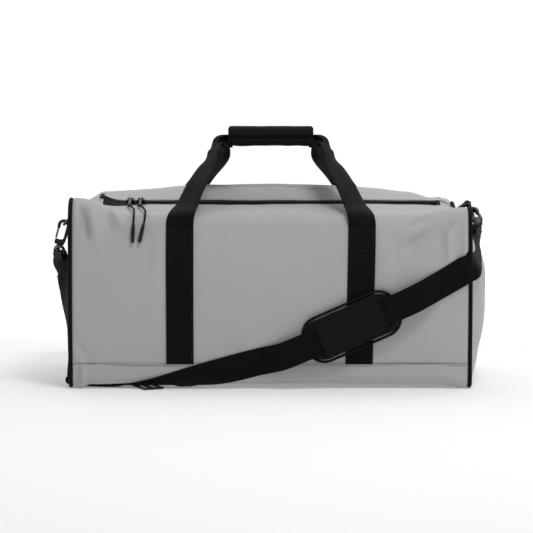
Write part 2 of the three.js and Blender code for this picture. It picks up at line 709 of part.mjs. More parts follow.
const clips = {};
for (const [name, end] of Object.entries(ends)) {
  const tail = end.seam.clone().sub(end.bar);
  const angle = Math.atan2(tail.z, tail.x);
  const tab = new THREE.Shape();
  const ringOut = wireRadius + gap + webThick;
  const tailHalf = webThick;
  const open = Math.asin(tailHalf / ringOut);
  tab.absarc(0, 0, ringOut, open, 2 * Math.PI - open, false);
  tab.lineTo(tail.length(), -tailHalf).lineTo(tail.length(), tailHalf);
  tab.closePath();
  const eye = new THREE.Path();
  eye.absarc(0, 0, wireRadius + gap, 0, 2 * Math.PI, true);
  tab.holes.push(eye);
  const tabMesh = add(`tab_${name}`, upright(tab, 2 * tabHalf, 10), blackWebbing);
  tabMesh.rotation.y = -angle;
  tabMesh.position.copy(end.bar);

  const bend = (a) => end.bar.clone()
    .add(vec(0, ringHalfWidth * Math.cos(a), 0))
    .addScaledVector(end.depth, ringDepth * Math.sin(a));
  const ringCurve = new THREE.CatmullRomCurve3([
    ...spread(0.16, Math.PI - 0.16, 9).map(bend),
    ...[-17, -11, 0, 11, 17].map((y) => end.bar.clone().add(vec(0, y, 0))),
  ], true, 'centripetal');
  const ringNormal = end.depth.clone().cross(vec(0, 1, 0));
  const count = 24;
  add(`d_ring_${name}`, sweep(spread(0, 1, count).slice(0, -1).map((t) => {
    const side = ringCurve.getTangentAt(t).cross(ringNormal).normalize();
    return ellipse(ringCurve.getPointAt(t), side, ringNormal, wireRadius, wireRadius, 6);
  }), true), blackMetal);

  const clip = new THREE.Group();
  const up = end.toward.clone().negate();
  const inward = vec(-end.way, 0, 0);
  inward.addScaledVector(up, -inward.dot(up)).normalize();
  const across = up.clone().cross(inward);
  clip.quaternion.setFromRotationMatrix(new THREE.Matrix4().makeBasis(inward, across, up));
  clip.position.copy(bend(end.hookAngle));
  bag.add(clip);
  clips[name] = { at: clip.position.clone(), inward, across, up };

  const hook = solid(upright(hookShape(), clipThick));
  const shank = solid(rod(2.5, 7.2).rotateX(Math.PI / 2).translate(0, 0, -33.4));
  const head = solid(rod(4, 1.8).rotateX(Math.PI / 2).translate(0, 0, -37.6));
  add(`hook_${name}`, geometryOf(hook.add(shank).add(head)), blackPlastic, clip);
  add(`hook_gate_${name}`, upright(gateShape(), clipThick - 2), blackMetal, clip);

  const frameHalf = webWidth / 2 + 4;
  const bridge = solid(block(-5, 5, -frameHalf, frameHalf, -36.4, -30.3));
  const hole = solid(rod(2.5 + gap, 10).rotateX(Math.PI / 2).translate(0, 0, -33));
  const cheek = solid(block(-4, 4, frameHalf - 2.6, frameHalf, -clipBar - barRadius, -31));
  const cheeks = [cheek, cheek.mirror([0, 1, 0])];
  const bar = solid(rod(barRadius, 2 * frameHalf).translate(0, 0, -clipBar));
  const base = bridge.add(cheeks[0]).add(cheeks[1]).add(bar).subtract(hole);
  add(`clip_base_${name}`, geometryOf(base), blackPlastic, clip);
}

// ---------------------------------------------------------------- the shoulder strap
// The strap's middle line on the bag's developed skin: how far it stands above the top
// of the base's rounded front edge, or, if negative, how far round the edge and under
// the base it has gone.
const padSlope = 0.4383;
const strapRoute = [
  [half - 1.5, 152.5],
  [240, 130],
  [205, 111.5],
  [185, 102],
  [160, 91],
  [28, 33.2],
  [10, 26.6],
  [-20, 19.3],
  [-75, 4.2],
  [-120, -9],
  [-170, -25],
  [-225, -43.5],
  [2.5 - half, -60],
].map(([x, q]) => vec(x, q, 0));
const strapLine = new THREE.CatmullRomCurve3(strapRoute, false, 'centripetal');
const strapSamples = strapLine.getPoints(240);
const strapMiddle = (x) => crossing(strapSamples, 'x', x).y;
const strapOut = sewnGap + webThick / 2;
const padBack = -bagDepth / 2 - 2.5 - sewnGap - webThick - gap;
const strapOverPad = padBack - padThick - gap - webThick / 2;
const adjusterPlace = vec(-172, -137, 0);
// Height of the strap's middle on the floor: it rises over the adjuster.
function strapLow(x) {
  const over = smooth(x, -216, -203) * (1 - smooth(x, -140, -126));
  return webThick / 2 + 0.1 + over * (adjusterThick + 1.5 * gap);
}

function strapPoint(x, q, layer) {
  const r = edgeRadius + strapOut;
  const arc = (r * Math.PI) / 2;
  const bottom = -bagDepth / 2 + edgeRadius;
  if (q >= 0) {
    const z = strapEdgeHeight + q;
    const aside = Math.abs(x - padPlace);
    const onFace = faceY(x, Math.max(z, seamHeight + 1), -1) - strapOut;
    return vec(x, lerp(strapOverPad, onFace, smooth(aside, 88, 130)), z);
  }
  if (q > -arc) {
    const angle = -q / r;
    return vec(x, bottom - r * Math.cos(angle), strapEdgeHeight - r * Math.sin(angle));
  }
  const under = -q - arc;
  const z = lerp(strapEdgeHeight - r, strapLow(x), smooth(under, 0, 6));
  return vec(x, bottom + under, z + layer * layerStep);
}
function strapGrid(x0, x1, n, layer) {
  return spread(x0, x1, n).map((x) => {
    const after = Math.min(x + 1, half - 1.6);
    const before = Math.max(x - 1, 2.6 - half);
    const slope = (strapMiddle(after) - strapMiddle(before)) / (after - before);
    const tilt = Math.atan(slope);
    return spread(-webWidth / 2, webWidth / 2, 6).map((s) =>
      strapPoint(x - s * Math.sin(tilt), strapMiddle(x) + s * Math.cos(tilt), layer)
    );
  });
}
const strapAway = vec(1, 0, 60);
function strapBody(grid) {
  return between(offset(grid, webThick / 2, strapAway), offset(grid, -webThick / 2, strapAway));
}
const leftStrapEnd = 13.5 - half;
const mainGrid = strapGrid(half - 15.5, leftStrapEnd, 42, 0);
add('strap_main', strapBody(mainGrid), blackWebbing);
add('strap_return', strapBody(strapGrid(-228, leftStrapEnd, 5, 1)), blackWebbing);

// A strap end that comes up to a clip, goes round its bar and doubles back.
function strapLoop(path, clip, widths, backSteps) {
  const bar = clip.at.clone().addScaledVector(clip.up, -clipBar);
  const round = barRadius + 2 * gap + webThick / 2;
  const start = bar.clone().addScaledVector(clip.inward, -round);
  const rise = [-20, -9, 0].map((d) => start.clone().addScaledVector(clip.up, d));
  const curve = new THREE.CatmullRomCurve3([...path, ...rise], false, 'centripetal');
  const steps = 26;
  const line = spread(0, 1, steps).map((t) => curve.getPoint(t));
  const across = spread(0, 1, steps).map((t) => ramp([...widths, clip.across, clip.across], t));
  const inner = line.map((p, i) => {
    const tangent = line[Math.min(i + 1, steps)].clone().sub(line[Math.max(i - 1, 0)]).normalize();
    const toBag = across[i].clone().cross(tangent).normalize();
    if (toBag.dot(clip.inward) + 0.4 * toBag.z * smooth(0.3 - i / steps, 0, 0.1) < 0) {
      toBag.negate();
    }
    return p.clone().addScaledVector(toBag, lerp(layerStep, 2 * round, smooth(i / steps, 0.6, 0.86)));
  });
  const turn = spread(0, Math.PI, 8).slice(1, -1).map((angle) => bar.clone()
    .addScaledVector(clip.inward, -round * Math.cos(angle))
    .addScaledVector(clip.up, round * Math.sin(angle)));
  const back = inner.slice(steps - backSteps).reverse();
  const points = [...line, ...turn, ...back];
  const backAcross = across.slice(steps - backSteps).reverse();
  const sides = [...across, ...turn.map(() => clip.across), ...backAcross];
  return ribbon(points, sides);
}
const leftStart = mainGrid[mainGrid.length - 1][3];
const leftWay = vec(-0.95, 0.31, 0);
const rightStart = mainGrid[0][3];
const rightWay = vec(0.86, 0, 0.5);
const onward = (start, way, distances) => distances.map((d) => start.clone().addScaledVector(way, d));
add('strap_drop_left', strapLoop([
  ...onward(leftStart, leftWay, [2 * gap, 4, 12]),
  vec(-half - 7, leftStart.y + 8, 3.2),
  vec(-half - 11.5, leftStart.y + 11, 14),
  vec(-half - 14, leftStart.y + 18, 36),
  vec(-half - 19.5, -62, 80),
  vec(-half - 28.5, -36, 122),
], clips.left, [
  vec(0.31, 0.95, 0),
  vec(0.31, 0.95, 0),
  vec(0.25, 0.97, 0),
  vec(0.05, 0.94, -0.3),
  vec(0, 0.9, -0.42),
], 26), blackWebbing);
add('strap_drop_right', strapLoop([
  ...onward(rightStart, rightWay, [2 * gap, 3, 12]),
  vec(half + 3.5, rightStart.y + 1, rightStart.z + 10),
  vec(half + 10.5, rightStart.y + 10, rightStart.z + 15),
  vec(half + 20.5, -118, 190),
  vec(half + 26.5, -88, 206),
], clips.right, [
  vec(-0.5, 0, 0.86),
  vec(-0.5, 0, 0.86),
  vec(-0.3, -0.3, 0.88),
  vec(0, -0.45, 0.88),
], 9), blackWebbing);

// The adjuster lies on the floor under the strap, at the bag's front edge.
const frameX = adjusterLength / 2;
const frameY = adjusterWidth / 2;
const slotReach = webWidth / 2 + 1;
let adjuster = solid(block(-frameX, frameX, -frameY, frameY, 0, adjusterThick));
for (const [x0, x1] of [[4 - frameX, -2.5], [2.5, frameX - 4]]) {
  adjuster = adjuster.subtract(solid(block(x0, x1, -slotReach, slotReach, -1, adjusterThick + 1)));
}
const adjusterMesh = add('strap_adjuster', geometryOf(adjuster), blackPlastic);
adjusterMesh.rotation.z = 0.42;
adjusterMesh.position.copy(adjusterPlace).setZ(gap / 6);

// The shoulder pad lies over the strap on the bag's front.
const padAngle = Math.atan(padSlope);
const padGroup = new THREE.Group();
const padAlong = vec(Math.cos(padAngle), 0, Math.sin(padAngle));
const padAcross = vec(-Math.sin(padAngle), 0, Math.cos(padAngle));
padGroup.quaternion.setFromRotationMatrix(new THREE.Matrix4().makeBasis(padAlong, padAcross, vec(0, -1, 0)));
padGroup.position.set(padPlace, padBack, strapEdgeHeight + strapMiddle(padPlace));
bag.add(padGroup);
function roundedRectangle(length, width, corner) {
  const shape = new THREE.Shape();
  const [x, y] = [length / 2 - corner, width / 2 - corner];
  shape.absarc(x, y, corner, 0, Math.PI / 2, false);
  shape.absarc(-x, y, corner, Math.PI / 2, Math.PI, false);
  shape.absarc(-x, -y, corner, Math.PI, 1.5 * Math.PI, false);
  shape.absarc(x, -y, corner, 1.5 * Math.PI, 2 * Math.PI, false);
  shape.closePath();
  return shape;
}
const inPad = 2 * bindingRadius + gap;
const padMargin = (inset) => roundedRectangle(padLength - 2 * inset, padWidth - 2 * inset, padCorner - inset);
add('pad_body', extruded(padMargin(inPad), padThick), paddedFabric, padGroup);
const bindingLine = padMargin(bindingRadius).getPoints(4);
bindingLine.pop();
const bindingCount = bindingLine.length;
add('pad_binding', sweep(bindingLine.map((p, i) => {
  const after = bindingLine[(i + 1) % bindingCount];
  const before = bindingLine[(i + bindingCount - 1) % bindingCount];
  const across = vec(after.y - before.y, before.x - after.x, 0).normalize();
  return ellipse(vec(p.x, p.y, padThick / 2), across, vec(0, 0, 1), bindingRadius, bindingRadius, 6);
}), true), blackTrim, padGroup);

const sleeveHalf = webWidth / 2 + 3;
const passHalf = webWidth / 2 + 1;
const sleeveTop = padThick + 2 * gap + webThick + sleeveThick;
const sleeveEnd = sleeveLength / 2;
const sleeve = solid(block(-sleeveEnd, sleeveEnd, -sleeveHalf, sleeveHalf, padThick + gap, sleeveTop));
const pass = solid(block(-sleeveLength, sleeveLength, -passHalf, passHalf, 0, sleeveTop - sleeveThick));
add('pad_sleeve', geometryOf(sleeve.subtract(pass)), paddedFabric, padGroup);

export default bag;
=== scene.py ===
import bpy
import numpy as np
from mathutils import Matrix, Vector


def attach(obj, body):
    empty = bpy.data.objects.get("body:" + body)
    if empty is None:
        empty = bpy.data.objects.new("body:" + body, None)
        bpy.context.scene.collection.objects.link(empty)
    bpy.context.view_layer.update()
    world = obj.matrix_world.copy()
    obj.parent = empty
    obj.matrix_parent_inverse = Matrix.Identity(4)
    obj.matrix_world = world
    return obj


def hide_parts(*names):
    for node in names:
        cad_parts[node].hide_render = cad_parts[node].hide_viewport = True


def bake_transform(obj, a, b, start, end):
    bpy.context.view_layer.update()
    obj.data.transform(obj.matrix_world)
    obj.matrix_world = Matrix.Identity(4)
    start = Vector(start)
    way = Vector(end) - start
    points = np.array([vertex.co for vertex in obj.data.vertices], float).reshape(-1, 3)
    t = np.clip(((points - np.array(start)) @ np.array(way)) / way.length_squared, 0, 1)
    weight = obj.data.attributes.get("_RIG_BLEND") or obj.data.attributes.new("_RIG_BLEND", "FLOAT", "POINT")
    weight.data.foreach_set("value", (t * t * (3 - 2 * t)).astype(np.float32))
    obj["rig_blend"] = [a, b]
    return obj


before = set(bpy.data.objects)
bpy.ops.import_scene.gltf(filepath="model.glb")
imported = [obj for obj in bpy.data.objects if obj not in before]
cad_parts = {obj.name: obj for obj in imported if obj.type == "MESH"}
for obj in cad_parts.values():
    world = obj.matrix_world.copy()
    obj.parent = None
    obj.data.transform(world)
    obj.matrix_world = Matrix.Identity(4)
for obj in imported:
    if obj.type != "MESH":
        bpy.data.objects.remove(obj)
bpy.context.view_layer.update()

# Looks of a soft travel duffel bag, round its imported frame. Shapes are worked out in
# millimetres, X along the bag, -Y to the front and +Z up, and are made in metres.
import math

import bmesh
import bpy
import numpy as np
from mathutils import Matrix, Vector
from mathutils.bvhtree import BVHTree

MM = 0.001
SIDES = {"front": -1, "rear": 1}
WAYS = {"left": -1, "right": 1}

# ------------------------------------------------------------------ driving dimensions
GAP = 0.3
BAG_LENGTH = 559
BAG_DEPTH = 300
CREASE_HEIGHT = 242
HUMP_RISE = 39.5
SEAM_HEIGHT = 34
EDGE_RADIUS = 12
FRONT_LIFT = 6
END_BULGE = 33
PIPING_RADIUS = 2.8
HALF = BAG_LENGTH / 2
FACE = BAG_DEPTH / 2
PANEL_END = HALF - PIPING_RADIUS - GAP
FABRIC = 1.4  # what shows of the fabric's thickness

WEB_WIDTH = 38
WEB_THICK = 1.6
HANDLE_SPACING = 254
STITCH_TOP = 227
GRIP_LENGTH = 124
GRIP_HEIGHT = 29
GRIP_DEPTH = 46
GRIP_MIDDLE = 352.5
GRIP_X = 1

ZIP_LINE = -35
ZIP_HALF = 8
ZIP_REACH = 245
FRONT_ROOT = -92
REAR_ROOT = 75
ZIP_HEIGHT = CREASE_HEIGHT + 14.6
SLIDER_PLACES = {"left": -202, "right": -187}
SLIDER_LENGTH = 12
SLIDER_WIDTH = 9
SLIDER_HEIGHT = 3
PULL_CORD = 2.8
PULL_GRIP = 5.4
PULL_GRIP_LENGTH = 25

WIRE_RADIUS = 2
RING_HALF_WIDTH = 22
RING_DEPTH = 22
CLIP_THICK = 7
BAR_RADIUS = 2.5
STRAP_EDGE_HEIGHT = FRONT_LIFT + EDGE_RADIUS

PAD_LENGTH = 142
PAD_WIDTH = 68
PAD_THICK = 9
PAD_CORNER = 27
PAD_PLACE = 113
PAD_SLOPE = 0.4383
SLEEVE_LENGTH = 95
SLEEVE_THICK = 1.4
ADJUSTER_LENGTH = 30
ADJUSTER_WIDTH = 48
ADJUSTER_THICK = 2.6
SEWN_GAP = 0.9
LAYER_STEP = WEB_THICK + GAP
STRAP_OUT = SEWN_GAP + WEB_THICK / 2


# ------------------------------------------------------------------ numbers and curves
def smooth(t, a, b):
    s = np.clip((t - a) / (b - a), 0, 1)
    return s * s * (3 - 2 * s)


def lerp(a, b, t):
    return a + (b - a) * t


def unit(v):
    v = np.asarray(v, float)
    return v / np.maximum(np.linalg.norm(v, axis=-1, keepdims=True), 1e-12)


def through(points, t):
    """Points at shares t of the way along a centripetal Catmull-Rom curve."""
    p = np.asarray(points, float)
    p = np.vstack([2 * p[0] - p[1], p, 2 * p[-1] - p[-2]])
    count = len(p) - 3
    at = np.clip(np.asarray(t, float), 0, 1) * count
    i = np.minimum(at.astype(int), count - 1)
    w = (at - i)[:, None]
    step = np.maximum(np.linalg.norm(np.diff(p, axis=0), axis=1) ** 0.5, 1e-6)
    d0, d1, d2 = (step[i + k][:, None] for k in range(3))
    x0, x1, x2, x3 = (p[i + k] for k in range(4))
    t1 = ((x1 - x0) / d0 - (x2 - x0) / (d0 + d1) + (x2 - x1) / d1) * d1
    t2 = ((x2 - x1) / d1 - (x3 - x1) / (d1 + d2) + (x3 - x2) / d2) * d1
    c2 = 3 * (x2 - x1) - 2 * t1 - t2
    c3 = 2 * (x1 - x2) + t1 + t2
    return x1 + t1 * w + c2 * w**2 + c3 * w**3


def evenly(points, count):
    """The same line with count + 1 points at even distances."""
    p = np.asarray(points, float)
    along = np.concatenate([[0], np.cumsum(np.linalg.norm(np.diff(p, axis=0), axis=1))])
    wanted = np.linspace(0, along[-1], count + 1)
    return np.stack([np.interp(wanted, along, p[:, k]) for k in range(p.shape[1])], 1)


def length_of(points):
    return float(np.linalg.norm(np.diff(np.asarray(points, float), axis=0), axis=1).sum())


def tangents(line, closed=False):
    p = np.asarray(line, float)
    if closed:
        return unit(np.roll(p, -1, 0) - np.roll(p, 1, 0))
    return unit(np.gradient(p, axis=0))


# ------------------------------------------------------------------ the bag's outline
def lift(x, y):
    """Height of the base's underside: its front edge stands off the floor between the corners."""
    reach = lerp(-78, -48, smooth(-x, 130, 240))
    front = 1 - smooth(y, reach - 20, reach)
    right_corner = smooth(x, 240, 268)
    left_corner = smooth(-x, 252, 268) * smooth(-y, 131, 138)
    return FRONT_LIFT * front * (1 - right_corner) * (1 - left_corner)


def base_path(x):
    bottom = FACE - EDGE_RADIUS

    def corner(side, share):
        angle = share * math.pi / 2
        y = side * (bottom + EDGE_RADIUS * math.cos(angle))
        return [y, lift(x, side * bottom) + EDGE_RADIUS * (1 - math.sin(angle))]

    path = [[-FACE, SEAM_HEIGHT - GAP / 2]]
    path += [corner(-1, i / 6) for i in range(6)]
    path += [[y, lift(x, y)] for y in np.linspace(-bottom, bottom, 60)]
    path += [corner(1, i / 6) for i in range(5, -1, -1)]
    path.append([FACE, SEAM_HEIGHT - GAP / 2])
    return np.array(path)


class Ends:
    """How the top changes towards the bag's ends: it sags between raised corners."""

    def __init__(self, x):
        self.left_crease = smooth(-x, 190, HALF)
        self.right_crease = smooth(x, 205, HALF)
        self.left_sag = smooth(-x, 246, HALF)
        self.right_sag = smooth(x, 247, HALF)
        self.crest = 1 - 0.42 * smooth(abs(x + 8), 60, 245)


def front_path(x):
    e = Ends(x)
    crease = CREASE_HEIGHT + 21 * e.left_crease + 10 * e.right_crease

    def top(y, z):
        left = lerp(z, CREASE_HEIGHT + 10 + (ZIP_LINE - y) * 0.07, e.left_sag)
        return [y, lerp(left, CREASE_HEIGHT - 1 + (ZIP_LINE - y) * 0.09, e.right_sag)]

    return np.array([
        [-FACE, SEAM_HEIGHT + GAP / 2],
        [-FACE - 2, 75],
        [-FACE - 2.5, 125],
        [-FACE, 175],
        [-FACE + 4.5, crease - 30],
        [-FACE + 10, crease - 10],
        [-FACE + 19, crease],
        [-FACE + 34, crease + 2.5 + e.left_sag - 1.5 * e.right_sag],
        top(FRONT_ROOT, CREASE_HEIGHT + 6),
        top(-65, CREASE_HEIGHT + 9),
        top(ZIP_LINE - ZIP_HALF, ZIP_HEIGHT - 3),
        top(ZIP_LINE - GAP / 2, ZIP_HEIGHT),
    ])


def rear_path(x):
    e = Ends(x)

    def crest(share):
        return lerp(ZIP_HEIGHT, CREASE_HEIGHT + HUMP_RISE, share * e.crest)

    def top(y, z, left, right):
        return [y, lerp(lerp(z, CREASE_HEIGHT + left, e.left_sag), CREASE_HEIGHT + right, e.right_sag)]

    return np.array([
        top(ZIP_LINE + GAP / 2, ZIP_HEIGHT, 10, -1),
        top(ZIP_LINE + ZIP_HALF, lerp(ZIP_HEIGHT + 1.5, ZIP_HEIGHT + 3, e.crest), 10, -1.5),
        top(-10, crest(0.44), 9.6, -2),
        top(8, crest(0.73), 9.2, -2),
        top(30, crest(0.96), 9, -1.6),
        top(50, crest(0.99), 8.8, -1),
        top(REAR_ROOT, crest(0.78), 8.6, 1),
        top(100, crest(0.38), 8.6, 5),
        top(122, crest(-0.05), 9, 10),
        top(136, crest(-0.48), 5, 9),
        [FACE - 6, CREASE_HEIGHT - 10],
        [FACE - 1, CREASE_HEIGHT - 30],
        [FACE, 175],
        [FACE + 2.5, 125],
        [FACE + 2, 75],
        [FACE, SEAM_HEIGHT + GAP / 2],
    ])


def profile(path, x, count, first=0.0, last=None):
    """Even points of an outline at x, between two of its control points, as X, Y, Z."""
    points = path(x)
    spans = len(points) - 1
    last = spans if last is None else last
    dense = through(points, np.linspace(first / spans, last / spans, 260))
    even = evenly(dense, count)
    return np.column_stack([np.full(len(even), x), even])


# ------------------------------------------------------------------ folds of the fabric
def ridge(points, ends, width, height):
    """A soft ridge, or a groove if height is negative, along a line in space."""
    a, b = (np.asarray(e, float) for e in ends)
    along = np.clip(((points - a) @ (b - a)) / ((b - a) @ (b - a)), 0, 1)
    off = np.linalg.norm(points - (a + along[..., None] * (b - a)), axis=-1)
    fade = 0.35 + 0.65 * np.sin(np.pi * np.clip(along * 0.9 + 0.05, 0, 1))
    return height * fade * np.exp(-((off / width) ** 2))


def ripples(points, wavelength, height, seed):
    """Uneven low waves, the same ones each run."""
    chance = np.random.default_rng(seed)
    total = np.zeros(points.shape[:-1])
    for _ in range(9):
        direction = unit(chance.normal(size=3))
        turn = 2 * np.pi / (wavelength * chance.uniform(0.7, 1.5))
        total += np.sin(points @ direction * turn + chance.uniform(0, 2 * np.pi))
    return height * total / 3


FOLD_DEPTH = 3.4
DEEPEST = 6.0  # no fold goes farther in than this
FOLDS = [
    # the top left corner of the front
    ([(-263, -142, 250), (-256, -148, 214)], 4.5, -2.4),
    ([(-249, -142, 250), (-243, -149, 205)], 7, 1.6),
    ([(-221, -130, 247), (-204, -148, 224)], 6, 1.5),
    ([(-232, -128, 248), (-222, -147, 218)], 6, -1.2),
    # the top right corner
    ([(226, -133, 247), (200, -147, 226)], 5.5, -1.8),
    ([(219, -147, 219), (193, -149, 197)], 6, -2.2),
    ([(212, -147, 228), (186, -149, 208)], 7, 1.5),
    ([(255, -146, 236), (243, -148, 222)], 5, -2.2),
    ([(243, -148, 222), (234, -149, 204)], 5, -1.7),
    ([(248, -149, 220), (249, -150, 180)], 5, 1.3),
    ([(262, -149, 228), (264, -151, 150)], 7, -1.2),
    # the right half, pressed in where the strap leaves the face
    ([(236, -150, 112), (272, -149, 136)], 14, -1.6),
    ([(206, -151, 150), (268, -149, 190)], 16, 1.2),
    # the bottom left corner
    ([(-268, -150, 30), (-270, -147, 4)], 3.5, -1.4),
    ([(-262, -150, 30), (-262, -147, 6)], 3.5, 1.1),
    ([(-270, -151, 64), (-252, -151, 40)], 6, -1.0),
    # broad slack in the face
    ([(-96, -152, 200), (60, -152, 214)], 26, -1.2),
    ([(-70, -152, 100), (-10, -152, 60)], 30, 0.7),
    ([(-250, -152, 120), (-160, -152, 150)], 30, 1.0),
    ([(150, -150, 225), (172, -152, 120)], 12, 0.9),
    ([(-152, -150, 225), (-162, -152, 110)], 12, 0.8),
]
CREST_FOLDS = [
    ([(-150 + 23 * i, 4 + 7 * (i % 3), 275), (-122 + 23 * i, 12 + 6 * (i % 2), 277)], 3.2, 0.55 * (-1) ** i)
    for i in range(13)
]
PUCKERS = [
    ([(-44 + 11 * i, -118, 245), (-41 + 11.4 * i, -96, 248)], 3.0, 0.5 * (-1) ** i)
    for i in range(9)
]


def folded(grid, seed):
    """The grid with the fabric's slack, folds and puckers, moved along its own normals."""
    out = normals_of(grid, outward=np.array([0.0, 0.0, 120.0]))
    amount = ripples(grid, 120, 0.8, seed) + ripples(grid, 38, 0.24, seed + 1)
    for ends, width, height in [*FOLDS, *CREST_FOLDS, *PUCKERS]:
        amount = amount + ridge(grid, ends, width, FOLD_DEPTH * height)
    near_seam = np.exp(-((grid[..., 2] - SEAM_HEIGHT) / 7) ** 2) * (np.abs(grid[..., 1]) > FACE - 6)
    amount = amount + near_seam * (0.28 * np.sin(grid[..., 0] / 3.1) * np.sin(grid[..., 0] / 17) - 0.7)
    amount = np.where(amount < 0, DEEPEST * np.tanh(amount / DEEPEST), amount)
    tuck = smooth(np.abs(grid[..., 0]), PANEL_END - 5, PANEL_END + 1)
    amount = amount * (1 - tuck) - 2.2 * tuck
    return grid + out * amount[..., None]


def normals_of(grid, outward):
    along = np.gradient(grid, axis=0)
    across = np.gradient(grid, axis=1)
    n = unit(np.cross(along, across))
    away = grid - outward
    away[..., 0] *= 0.2
    turn = np.sign((n * away).sum(-1, keepdims=True))
    return n * np.where(turn == 0, 1, turn)


# ------------------------------------------------------------------ meshes
def made(name, points, faces, material, smooth_faces=True, cloth=None):
    """A mesh object from points in millimetres. cloth is each point's place on the flat cloth."""
    mesh = bpy.data.meshes.new(name)
    mesh.from_pydata((np.asarray(points, float) * MM).tolist(), [], [list(f) for f in faces])
    if cloth is not None:
        attribute = mesh.attributes.new("cloth", "FLOAT_VECTOR", "POINT")
        flat = np.zeros((len(points), 3), np.float32)
        flat[:, :2] = np.asarray(cloth, float).reshape(-1, 2) * MM
        attribute.data.foreach_set("vector", flat.ravel())
    obj = bpy.data.objects.new(name, mesh)
    bpy.context.scene.collection.objects.link(obj)
    mesh.materials.append(material)
    mesh.polygons.foreach_set("use_smooth", [smooth_faces] * len(mesh.polygons))
    mesh.validate()
    return obj


def outwards(obj):
    """Faces turned to point out of the closed mesh."""
    bm = bmesh.new()
    bm.from_mesh(obj.data)
    bmesh.ops.recalc_face_normals(bm, faces=bm.faces)
    if bm.calc_volume(signed=True) < 0:
        bmesh.ops.reverse_faces(bm, faces=bm.faces)
    bm.to_mesh(obj.data)
    bm.free()
    return obj


def flat_places(grid):
    """Each point's place on the cloth: distance across the columns and along the rows."""
    across = np.linalg.norm(np.diff(grid, axis=1), axis=-1)
    along = np.linalg.norm(np.diff(grid, axis=0), axis=-1)
    u = np.concatenate([np.zeros((len(grid), 1)), np.cumsum(across, 1)], 1)
    v = np.concatenate([np.zeros((1, grid.shape[1])), np.cumsum(along, 0)], 0)
    middle = grid.shape[1] // 2
    return np.stack([u - u[:, [middle]], np.repeat(v[:, [middle]], grid.shape[1], 1)], -1)


def shell(name, outer, inner, material, cloth=None):
    """A closed thin body between two grids that share a layout."""
    rows, columns = outer.shape[:2]
    number = np.arange(rows * columns).reshape(rows, columns)
    under = number + rows * columns
    quads = []
    for layer, turned in ((number, False), (under, True)):
        a, b, c, d = layer[:-1, :-1], layer[1:, :-1], layer[1:, 1:], layer[:-1, 1:]
        block = np.stack([a, d, c, b] if turned else [a, b, c, d], -1).reshape(-1, 4)
        quads.append(block)
    for line, below in (
        (number[0], under[0]),
        (number[-1][::-1], under[-1][::-1]),
        (number[:, -1], under[:, -1]),
        (number[:, 0][::-1], under[:, 0][::-1]),
    ):
        quads.append(np.stack([line[:-1], line[1:], below[1:], below[:-1]], -1))
    points = np.concatenate([outer.reshape(-1, 3), inner.reshape(-1, 3)])
    places = flat_places(outer) if cloth is None else cloth
    both = np.concatenate([places.reshape(-1, 2)] * 2)
    return outwards(made(name, points, np.concatenate(quads), material, cloth=both))


def tube_points(line, radii, sides, closed=False):
    """Rings of points round a line, without twist."""
    line = np.asarray(line, float)
    t = tangents(line, closed)
    normal = np.cross(t[0], [0, 0, 1.0])
    if np.linalg.norm(normal) < 1e-3:
        normal = np.cross(t[0], [0, 1.0, 0])
    radii = np.broadcast_to(np.asarray(radii, float), (len(line),))
    angles = np.linspace(0, 2 * np.pi, sides, endpoint=False)
    rings = []
    for p, direction, radius in zip(line, t, radii):
        normal = unit(normal - direction * (normal @ direction))
        other = np.cross(direction, normal)
        rings.append(p + radius * (np.outer(np.cos(angles), normal) + np.outer(np.sin(angles), other)))
    return np.array(rings)


def lofted(name, rings, material, closed=False, cloth=None):
    """A body through rings of points, closed on itself or capped at both ends."""
    count, sides = rings.shape[:2]
    number = np.arange(count * sides).reshape(count, sides)
    after = np.roll(number, -1, 0) if closed else number[1:]
    before = number if closed else number[:-1]
    quads = np.stack([before, np.roll(before, -1, 1), np.roll(after, -1, 1), after], -1).reshape(-1, 4)
    faces = quads.tolist()
    if not closed:
        faces += [number[0][::-1].tolist(), number[-1].tolist()]
    return outwards(made(name, rings.reshape(-1, 3), faces, material, cloth=cloth))


def tube(name, line, radius, material, sides=12, closed=False):
    rings = tube_points(line, radius, sides, closed=closed)
    along = np.concatenate([[0], np.cumsum(np.linalg.norm(np.diff(line, axis=0), axis=1))])
    mean = float(np.mean(radius))
    places = [[j / sides * 2 * np.pi * mean, s] for s in along for j in range(sides)]
    return lofted(name, rings, material, closed=closed, cloth=places)


def ribbon(name, line, widths, material, thick=WEB_THICK, wide=WEB_WIDTH, columns=12, cup=0.0):
    """Webbing along a line: widths are its directions across, and cup lifts its middle."""
    line = np.asarray(line, float)
    along = tangents(line)
    across = unit(widths - along * (widths * along).sum(1, keepdims=True))
    up = np.cross(along, across)
    s = np.linspace(-1, 1, columns + 1)
    rows = line[:, None] + across[:, None] * (s[None, :, None] * wide / 2)
    rows = rows + up[:, None] * (cup * (1 - s**2))[None, :, None]
    edge = (1 - np.abs(s) ** 14 * 0.45)[None, :, None] * thick / 2
    outer = rows + up[:, None] * edge
    inner = rows - up[:, None] * edge
    distance = np.concatenate([[0], np.cumsum(np.linalg.norm(np.diff(line, axis=0), axis=1))])
    places = np.stack(np.broadcast_arrays(s[None, :] * wide / 2, distance[:, None]), -1)
    return shell(name, outer, inner, material, cloth=places)


def applied(obj, *modifiers):
    """Adds the modifiers, given as (type, settings), and makes their result the mesh."""
    for kind, settings in modifiers:
        modifier = obj.modifiers.new(kind.lower(), kind)
        for key, value in settings.items():
            setattr(modifier, key, value)
    graph = bpy.context.evaluated_depsgraph_get()
    mesh = bpy.data.meshes.new_from_object(obj.evaluated_get(graph))
    obj.modifiers.clear()
    old = obj.data
    materials = [m for m in old.materials]
    obj.data = mesh
    if not mesh.materials:
        for material in materials:
            mesh.materials.append(material)
    bpy.data.meshes.remove(old)
    mesh.polygons.foreach_set("use_smooth", [True] * len(mesh.polygons))
    return obj


